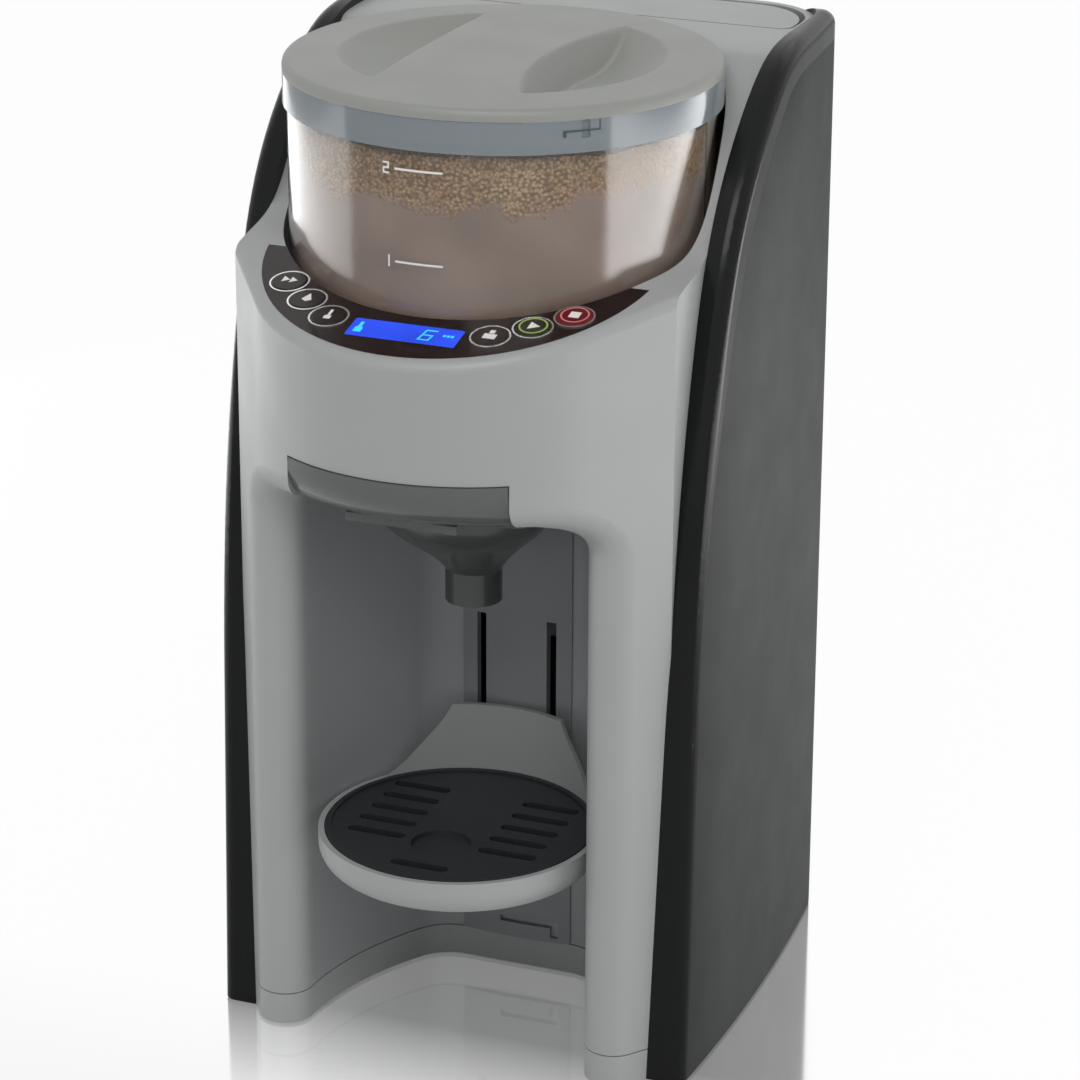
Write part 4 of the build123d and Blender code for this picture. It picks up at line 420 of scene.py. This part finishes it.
def add_piece(name, mesh, material, body):
    """A finished mesh as a piece that rides on a body."""
    piece = bpy.data.objects.new(name, mesh)
    bpy.context.scene.collection.objects.link(piece)
    mesh.materials.clear()
    mesh.materials.append(material)
    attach(piece, body)
    return piece


def smooth(mesh, angle):
    """Smooth shading, with edges kept sharp above an angle."""
    mesh.shade_smooth()
    mesh.set_sharp_from_angle(angle=radians(angle))


# ---------------------------------------------------------------- powder
def build_powder():
    """Powder in the container, filled unevenly up to the frosted band."""
    radius = CAN_R - CAN_WALL - POWDER_GAP
    top = band_low.z - POWDER_DROP
    turns, rings = 160, 44
    bm = bmesh.new()
    rows = []
    for i in range(rings + 1):
        share = i / rings
        row = []
        for j in range(turns):
            a = 2 * pi * j / turns
            x = radius * share * cos(a)
            y = radius * share * sin(a)
            lump = noise.noise(Vector((x, y, 0.3)) * 42) * 1.6 * MM
            crumb = noise.noise(Vector((x, y, 1.7)) * 260) * 0.8 * MM
            row.append(bm.verts.new((x, CAN_Y + y, top + lump + crumb)))
        rows.append(row)
    skirt = [bm.verts.new((v.co.x, v.co.y, POWDER_FLOOR_Z)) for v in rows[-1]]
    rows.append(skirt)
    for low, high in zip(rows, rows[1:]):
        for j in range(turns):
            k = (j + 1) % turns
            bm.faces.new((low[j], high[j], high[k], low[k]))
    bm.faces.new(list(reversed(skirt)))
    bmesh.ops.remove_doubles(bm, verts=bm.verts, dist=MERGE)
    mesh = finish_mesh("milk_powder", bm, tidy_faces=True)
    smooth(mesh, 50)
    add_piece("milk_powder", mesh, powder_grain("milk_powder"), "container")


# ---------------------------------------------------------------- printed marks
def wrapped_strip(bm, radius, start, end, low, high, steps=10):
    """Thin printed patch on the container's wall, between two arc lengths from the front."""
    inner, outer = [], []
    for i in range(steps + 1):
        a = (start + (end - start) * i / steps) / radius
        for z in (low, high):
            inner.append(bm.verts.new((radius * sin(a), CAN_Y - radius * cos(a), z)))
            reach = radius + PRINT
            outer.append(bm.verts.new((reach * sin(a), CAN_Y - reach * cos(a), z)))
    for i in range(steps):
        a, b, c, d = 2 * i, 2 * i + 1, 2 * i + 3, 2 * i + 2
        bm.faces.new((outer[a], outer[d], outer[c], outer[b]))
        bm.faces.new((inner[a], inner[b], inner[c], inner[d]))
        bm.faces.new((outer[b], outer[c], inner[c], inner[b]))
        bm.faces.new((outer[a], inner[a], inner[d], outer[d]))
    bm.faces.new((outer[0], outer[1], inner[1], inner[0]))
    bm.faces.new((outer[-2], inner[-2], inner[-1], outer[-1]))


SEGMENTS = {"1": "bc", "2": "abged", "6": "afgedc"}


def digit_bars(value, width, height, stroke):
    """Boxes (left, low, right, high) of a seven-segment digit."""
    half = height / 2
    places = {
        "a": (0, height - stroke, width, height),
        "b": (width - stroke, half, width, height),
        "c": (width - stroke, 0, width, half),
        "d": (0, 0, width, stroke),
        "e": (0, 0, stroke, half),
        "f": (0, half, stroke, height),
        "g": (0, half - stroke / 2, width, half + stroke / 2),
    }
    return [places[s] for s in SEGMENTS[value]]


def build_level_marks():
    """Two level lines with plain numbers, printed on the container."""
    bm = bmesh.new()
    surface = CAN_R + MARK_GAP
    half_line = 8.5 * MM
    half_stroke = 0.35 * MM
    digit_x = -13 * MM
    digit_height = 4.0 * MM
    for value, z in LEVEL_HEIGHTS.items():
        wrapped_strip(bm, surface, -half_line, half_line, z - half_stroke, z + half_stroke)
        foot = z - digit_height / 2
        for left, low, right, high in digit_bars(value, 2.4 * MM, digit_height, 0.6 * MM):
            wrapped_strip(
                bm, surface, left + digit_x, right + digit_x, foot + low, foot + high, 2
            )
    mesh = finish_mesh("level_marks", bm)
    add_piece("level_marks", mesh, print_white, "container")


def build_slot_mark():
    """Outline of the bayonet slot in the frosted band, right of the front."""
    bm = bmesh.new()
    surface = BAND_R + MARK_GAP
    start, end = radians(SLOT_START) * surface, radians(SLOT_END) * surface
    high = SLOT_Z + 0.7 * MM
    wrapped_strip(bm, surface, start, end, SLOT_Z, high)
    wrapped_strip(bm, surface, start, start + 1.2 * MM, SLOT_Z - 1.6 * MM, SLOT_Z, 2)
    wrapped_strip(bm, surface, end - 0.5 * MM, end, high, band_high.z - 0.1 * MM, 2)
    mesh = finish_mesh("slot_mark", bm)
    add_piece("slot_mark", mesh, print_dark, "container")


# ---------------------------------------------------------------- display and button marks
tilt = atan(LEDGE_SLOPE)
ledge_up = Vector((0, -sin(tilt), cos(tilt)))
ledge_back = Vector((0, cos(tilt), sin(tilt)))
window_mid = (window_low + window_high) / 2


def on_ledge(x, along, lift):
    """Point of the control ledge: sideways, up its slope and above the display's face."""
    face = window_mid + ledge_up * WINDOW_FACE
    return Vector((x, face.y, face.z)) + ledge_back * along + ledge_up * lift


def flat_patch(bm, outline, lift):
    """Thin raised patch of the ledge, from (x, along) points."""
    low = [bm.verts.new(on_ledge(x, y, lift)) for x, y in outline]
    high = [bm.verts.new(on_ledge(x, y, lift + PRINT)) for x, y in outline]
    count = len(outline)
    for i in range(count):
        j = (i + 1) % count
        bm.faces.new((low[i], low[j], high[j], high[i]))
    bm.faces.new(high)
    bm.faces.new(list(reversed(low)))


def build_display_marks():
    """The lit number and small signs of the display."""
    bm = bmesh.new()
    lift = 0.1 * MM
    lean = 0.18                        # slant of the number
    digit_x = 5.5 * MM
    digit_low = -3.5 * MM
    bottle_x = -16 * MM
    dots_x = 13.4 * MM
    for left, low, right, high in digit_bars("6", 4.2 * MM, 6.6 * MM, 0.65 * MM):
        outline = [(left, low), (right, low), (right, high), (left, high)]
        flat_patch(bm, [(x + y * lean + digit_x, y + digit_low) for x, y in outline], lift)
    bottle = [
        (-1.4, -3.2), (1.4, -3.2), (1.4, -0.6), (0.6, 0.4),
        (0.6, 3.0), (-0.6, 3.0), (-0.6, 0.4), (-1.4, -0.6),
    ]
    flat_patch(bm, [(x * MM + bottle_x, y * MM) for x, y in bottle], lift)
    for i in range(3):
        x = dots_x + 1.4 * MM * i
        flat_patch(bm, [(x, 0), (x + MM, 0), (x + MM, 1.2 * MM), (x, 1.2 * MM)], lift)
    mesh = finish_mesh("display_marks", bm, tidy_faces=True)
    add_piece("display_marks", mesh, display_cyan, "housing")


def ring_outline(radius, count=32):
    """Points of a circle."""
    turns = [2 * pi * i / count for i in range(count)]
    return [(radius * cos(t), radius * sin(t)) for t in turns]


def flat_ring(bm, middle, outer, inner, lift, count=40):
    """Thin raised ring of the ledge around a middle point (x, along)."""
    loops = []
    for radius, height in ((outer, 0), (outer, PRINT), (inner, PRINT), (inner, 0)):
        loops.append([
            bm.verts.new(on_ledge(middle[0] + x, middle[1] + y, lift + height))
            for x, y in ring_outline(radius, count)
        ])
    for low, high in zip(loops, loops[1:] + loops[:1]):
        for i in range(count):
            j = (i + 1) % count
            bm.faces.new((low[i], low[j], high[j], high[i]))


SIGN_LIFT = 0.62 * MM                  # button tops above the display's face
BUTTON_SIGNS = {
    "speed_button": [[(-2.6, -1.8), (0, 0), (-2.6, 1.8)], [(0.2, -1.8), (2.8, 0), (0.2, 1.8)]],
    "water_button": [[(-1.8, -1.2), (0, -2.4), (1.8, -1.2), (0, 2.8)]],
    "warmth_button": [
        [(-0.5, -0.6), (0.5, -0.6), (0.5, 3.0), (-0.5, 3.0)],
        [(-1.2, -2.8), (1.2, -2.8), (1.2, -0.8), (-1.2, -0.8)],
    ],
    "amount_button": [
        [(-2.2, -2.6), (2.2, -2.6), (2.2, 0.4), (-2.2, 0.4)],
        [(-0.9, 0.8), (0.9, 0.8), (0.9, 2.8), (-0.9, 2.8)],
    ],
    "start_button": [[(-1.4, -2.2), (2.4, 0), (-1.4, 2.2)]],
    "stop_button": [[(-1.8, -1.8), (1.8, -1.8), (1.8, 1.8), (-1.8, 1.8)]],
}


def button_middle(name):
    """Middle of a button as (x, along) on the ledge."""
    low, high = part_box(name)
    return (low.x + high.x) / 2, ((low.y + high.y) / 2 - window_mid.y) / cos(tilt)


def build_button_signs():
    """A plain sign on each button, with a coloured ring on start and stop."""
    for name, outlines in BUTTON_SIGNS.items():
        middle = button_middle(name)
        bm = bmesh.new()
        for outline in outlines:
            spots = [(middle[0] + x * MM, middle[1] + y * MM) for x, y in outline]
            flat_patch(bm, spots, SIGN_LIFT)
        mesh = finish_mesh(name + "_sign", bm, tidy_faces=True)
        add_piece(name + "_sign", mesh, print_white, name + "_cap")
    for name, tone in (("start_button", ring_green), ("stop_button", ring_red)):
        bm = bmesh.new()
        flat_ring(bm, button_middle(name), 4.9 * MM, 4.3 * MM, SIGN_LIFT)
        mesh = finish_mesh(name + "_ring", bm, tidy_faces=True)
        add_piece(name + "_ring", mesh, tone, name + "_cap")


# ---------------------------------------------------------------- lid
LID_R = (lid_high.x - lid_low.x) / 2
LID_CROWN = 2.0 * MM                   # rise of the lid towards its middle
LID_FACE_Z = lid_high.z - LID_CROWN    # top of the lid near its edge
LID_UNDER_Z = LID_FACE_Z - 4.0 * MM
LID_SHELL = 1.8 * MM                   # least thickness, under the finger wells
LID_EDGE_R = 2.2 * MM                  # rounding of the lid's outer edge
WELL_R = 56 * MM                       # rim of the finger wells
WELL_FLOOR_R = 30 * MM                 # inside this the wells reach their full depth
WELL_DEPTH = 11.5 * MM
BAR_WAIST = 16.4 * MM                  # from the axis to the bar's right flank, at its waist
BAR_WAIST_R = 132 * MM                 # radius of that flank's curve, seen from above
BAR_LEFT = 26.5 * MM                   # from the axis to the bar's straight left flank
RIGHT_SLOPE = 1.45                     # fall of the flanks into the wells
LEFT_SLOPE = 0.9 * RIGHT_SLOPE
RIGHT_ROUND = 0.5 * MM                 # rounding at the foot of each flank
LEFT_ROUND = 3.0 * MM
RIM_ROUND = 0.4 * MM                   # rounding along the rims of the wells
RING_CROWDING = 1.15                   # above 1, the rings of faces crowd at the lid's edge


def smooth_max(a, b, reach):
    """The larger of two heights, rounded where they meet."""
    part = max(0.0, min(1.0, 0.5 + 0.5 * (a - b) / reach))
    return b + (a - b) * part + reach * part * (1 - part)


def lid_height(x, y):
    """Height of the lid's top at a place measured from its axis."""
    r = sqrt(x * x + y * y)
    crown = LID_CROWN * max(0.0, 1 - (r / LID_R) ** 2)
    top = LID_FACE_Z + crown
    edge = max(0.0, r - LID_R + LID_EDGE_R)
    top -= LID_EDGE_R - sqrt(max(0.0, LID_EDGE_R**2 - edge**2))
    share = max(0.0, min(1.0, (WELL_R - r) / (WELL_R - WELL_FLOOR_R)))
    bowl = top - WELL_DEPTH * (1 - (1 - share) ** 2)
    if x > 0:
        beyond = x - BAR_WAIST - y * y / (2 * BAR_WAIST_R)
        flank = top - RIGHT_SLOPE * beyond
        floor = smooth_max(bowl, flank, RIGHT_ROUND)
    else:
        beyond = -x - BAR_LEFT
        flank = top - LEFT_SLOPE * beyond
        floor = smooth_max(bowl, flank, LEFT_ROUND)
    return -smooth_max(-top, -floor, RIM_ROUND)


def build_lid():
    """Lid cap with two dished finger wells and a waisted grip bar between them."""
    turns, rings = 288, 120
    bm = bmesh.new()
    rows_up, rows_down = [], []
    for i in range(rings + 1):
        r = LID_R * (1 - (1 - i / rings) ** RING_CROWDING)
        up, down = [], []
        for j in range(turns):
            a = 2 * pi * j / turns
            x, y = r * cos(a), r * sin(a)
            height = lid_height(x, y)
            under = min(LID_UNDER_Z, height - LID_SHELL)
            up.append(bm.verts.new((x, CAN_Y + y, height)))
            down.append(bm.verts.new((x, CAN_Y + y, under)))
        rows_up.append(up)
        rows_down.append(down)
    for rows, flip in ((rows_up, False), (rows_down, True)):
        for low, high in zip(rows, rows[1:]):
            for j in range(turns):
                k = (j + 1) % turns
                face = (low[j], high[j], high[k], low[k])
                bm.faces.new(tuple(reversed(face)) if flip else face)
    for j in range(turns):
        k = (j + 1) % turns
        bm.faces.new((rows_up[-1][j], rows_down[-1][j], rows_down[-1][k], rows_up[-1][k]))
    bmesh.ops.remove_doubles(bm, verts=bm.verts, dist=MERGE)
    mesh = finish_mesh("grip_lid", bm, tidy_faces=True)
    smooth(mesh, 60)
    piece = add_piece("grip_lid", mesh, lid_silver, "lid")
    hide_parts("lid_cap")


build_powder()
build_lid()
build_button_signs()
build_level_marks()
build_slot_mark()
build_display_marks()


# ---------------------------------------------------------------- stage
WHITE = (1.0, 1.0, 1.0, 1.0)
MIRROR_SHARE = 0.80                    # share of the mirror image beside the object
MIRROR_FULL_Y = -50 * MM               # towards the front it fades between these
MIRROR_END_Y = -135 * MM
GLOW_SHARE = 0.80                      # share of plain white where no mirror image is
FLOOR_R = 6.0
FLOOR_DROP = 0.1 * MM                  # floor below the undersides of the feet
DAYLIGHT = 0.46                        # strength of the surroundings as a light


def floor_material():
    """Pale polished floor: its mirror image fades to plain white towards the front."""
    material, tree, shader = new_material("pale_floor")
    mirror = tree.nodes.new("ShaderNodeBsdfGlossy")
    mirror.inputs["Color"].default_value = WHITE
    mirror.inputs["Roughness"].default_value = 0.08
    glow = tree.nodes.new("ShaderNodeEmission")
    glow.inputs["Color"].default_value = WHITE
    glow.inputs["Strength"].default_value = 1.0
    shader.inputs["Base Color"].default_value = (0.88, 0.88, 0.88, 1.0)
    shader.inputs["Roughness"].default_value = 0.6
    path = tree.nodes.new("ShaderNodeLightPath")
    coords = tree.nodes.new("ShaderNodeTexCoord")
    split = tree.nodes.new("ShaderNodeSeparateXYZ")
    tree.links.new(coords.outputs["Object"], split.inputs["Vector"])
    near = add_range(
        tree, split.outputs["Y"], 0.0, MIRROR_SHARE, MIRROR_END_Y, MIRROR_FULL_Y
    )
    pale = tree.nodes.new("ShaderNodeMixShader")
    pale.inputs["Fac"].default_value = GLOW_SHARE
    seen = tree.nodes.new("ShaderNodeMixShader")
    gloss = tree.nodes.new("ShaderNodeMixShader")
    tree.links.new(near, gloss.inputs["Fac"])
    tree.links.new(shader.outputs["BSDF"], pale.inputs[1])
    tree.links.new(glow.outputs["Emission"], pale.inputs[2])
    tree.links.new(pale.outputs["Shader"], gloss.inputs[1])
    tree.links.new(mirror.outputs["BSDF"], gloss.inputs[2])
    tree.links.new(path.outputs["Is Camera Ray"], seen.inputs["Fac"])
    tree.links.new(shader.outputs["BSDF"], seen.inputs[1])
    tree.links.new(gloss.outputs["Shader"], seen.inputs[2])
    tree.links.new(seen.outputs["Shader"], tree.nodes["Material Output"].inputs["Surface"])
    return material


def build_floor():
    """Round floor that the object stands on."""
    bm = bmesh.new()
    bmesh.ops.create_circle(bm, cap_ends=True, segments=96, radius=FLOOR_R)
    mesh = finish_mesh("floor", bm)
    floor = bpy.data.objects.new("floor", mesh)
    bpy.context.scene.collection.objects.link(floor)
    mesh.materials.append(floor_material())
    floor.location.z = -FLOOR_DROP


def build_world():
    """White background where it is seen or mirrored, dimmer light on the object."""
    world = bpy.data.worlds.new("studio")
    bpy.context.scene.world = world
    world.use_nodes = True
    tree = world.node_tree
    tree.nodes.clear()
    path = tree.nodes.new("ShaderNodeLightPath")
    clear_way = tree.nodes.new("ShaderNodeMath")
    clear_way.operation = "MAXIMUM"
    tree.links.new(path.outputs["Is Camera Ray"], clear_way.inputs[0])
    tree.links.new(path.outputs["Is Transmission Ray"], clear_way.inputs[1])
    seen = tree.nodes.new("ShaderNodeMath")
    seen.operation = "MAXIMUM"
    tree.links.new(clear_way.outputs["Value"], seen.inputs[0])
    tree.links.new(path.outputs["Is Glossy Ray"], seen.inputs[1])
    light = tree.nodes.new("ShaderNodeBackground")
    light.inputs["Color"].default_value = (0.96, 0.98, 1.0, 1.0)
    light.inputs["Strength"].default_value = DAYLIGHT
    white_back = tree.nodes.new("ShaderNodeBackground")
    white_back.inputs["Color"].default_value = WHITE
    mix = tree.nodes.new("ShaderNodeMixShader")
    output = tree.nodes.new("ShaderNodeOutputWorld")
    tree.links.new(seen.outputs["Value"], mix.inputs["Fac"])
    tree.links.new(light.outputs["Background"], mix.inputs[1])
    tree.links.new(white_back.outputs["Background"], mix.inputs[2])
    tree.links.new(mix.outputs["Shader"], output.inputs["Surface"])


def add_softbox(name, place, target, width, height, power):
    """Rectangular studio lamp of some watts, aimed at a point."""
    lamp = bpy.data.lights.new(name, "AREA")
    lamp.shape = "RECTANGLE"
    lamp.size = width
    lamp.size_y = height
    lamp.energy = power
    holder = bpy.data.objects.new(name, lamp)
    bpy.context.scene.collection.objects.link(holder)
    holder.location = place
    aim = Vector(target) - Vector(place)
    holder.rotation_euler = aim.to_track_quat("-Z", "Y").to_euler()


def build_camera():
    """Camera at the photograph's place, fitted to the outlines of lid, seam and feet."""
    azimuth, elevation, roll = radians(21.616), radians(20.758), radians(0.247)
    place = Vector((0.5107, -1.2634, 0.6869))
    back = Vector((sin(azimuth) * cos(elevation), -cos(azimuth) * cos(elevation), sin(elevation)))
    side = Vector((cos(azimuth), sin(azimuth), 0))
    up = back.cross(side)
    rolled_side = side * cos(roll) + up * sin(roll)
    rolled_up = up * cos(roll) - side * sin(roll)
    data = bpy.data.cameras.new("camera")
    data.sensor_width = 36.0
    data.lens = 136.57
    data.clip_start = 0.1
    data.clip_end = 20.0
    camera = bpy.data.objects.new("camera", data)
    bpy.context.scene.collection.objects.link(camera)
    turn = Matrix((rolled_side, rolled_up, back)).transposed()
    camera.matrix_world = Matrix.Translation(place) @ turn.to_4x4()
    bpy.context.scene.camera = camera


build_floor()
build_world()
build_camera()
add_softbox(
    "key_light", place=(0.35, -1.30, 1.70), target=(0, 0, 0.2), width=1.1, height=0.9, power=16.0
)
add_softbox(
    "right_card", place=(0.62, 0.24, 0.09), target=(0, 0, 0.26), width=0.95, height=0.16, power=2.1
)
add_softbox(
    "left_card", place=(-0.62, 0.10, 0.09), target=(0, 0, 0.26), width=0.95, height=0.16, power=0.9
)
add_softbox(
    "back_light", place=(0.4, 1.4, 1.6), target=(0, 0, 0.3), width=1.2, height=0.8, power=1.5
)
bpy.context.scene.view_settings.view_transform = "Standard"
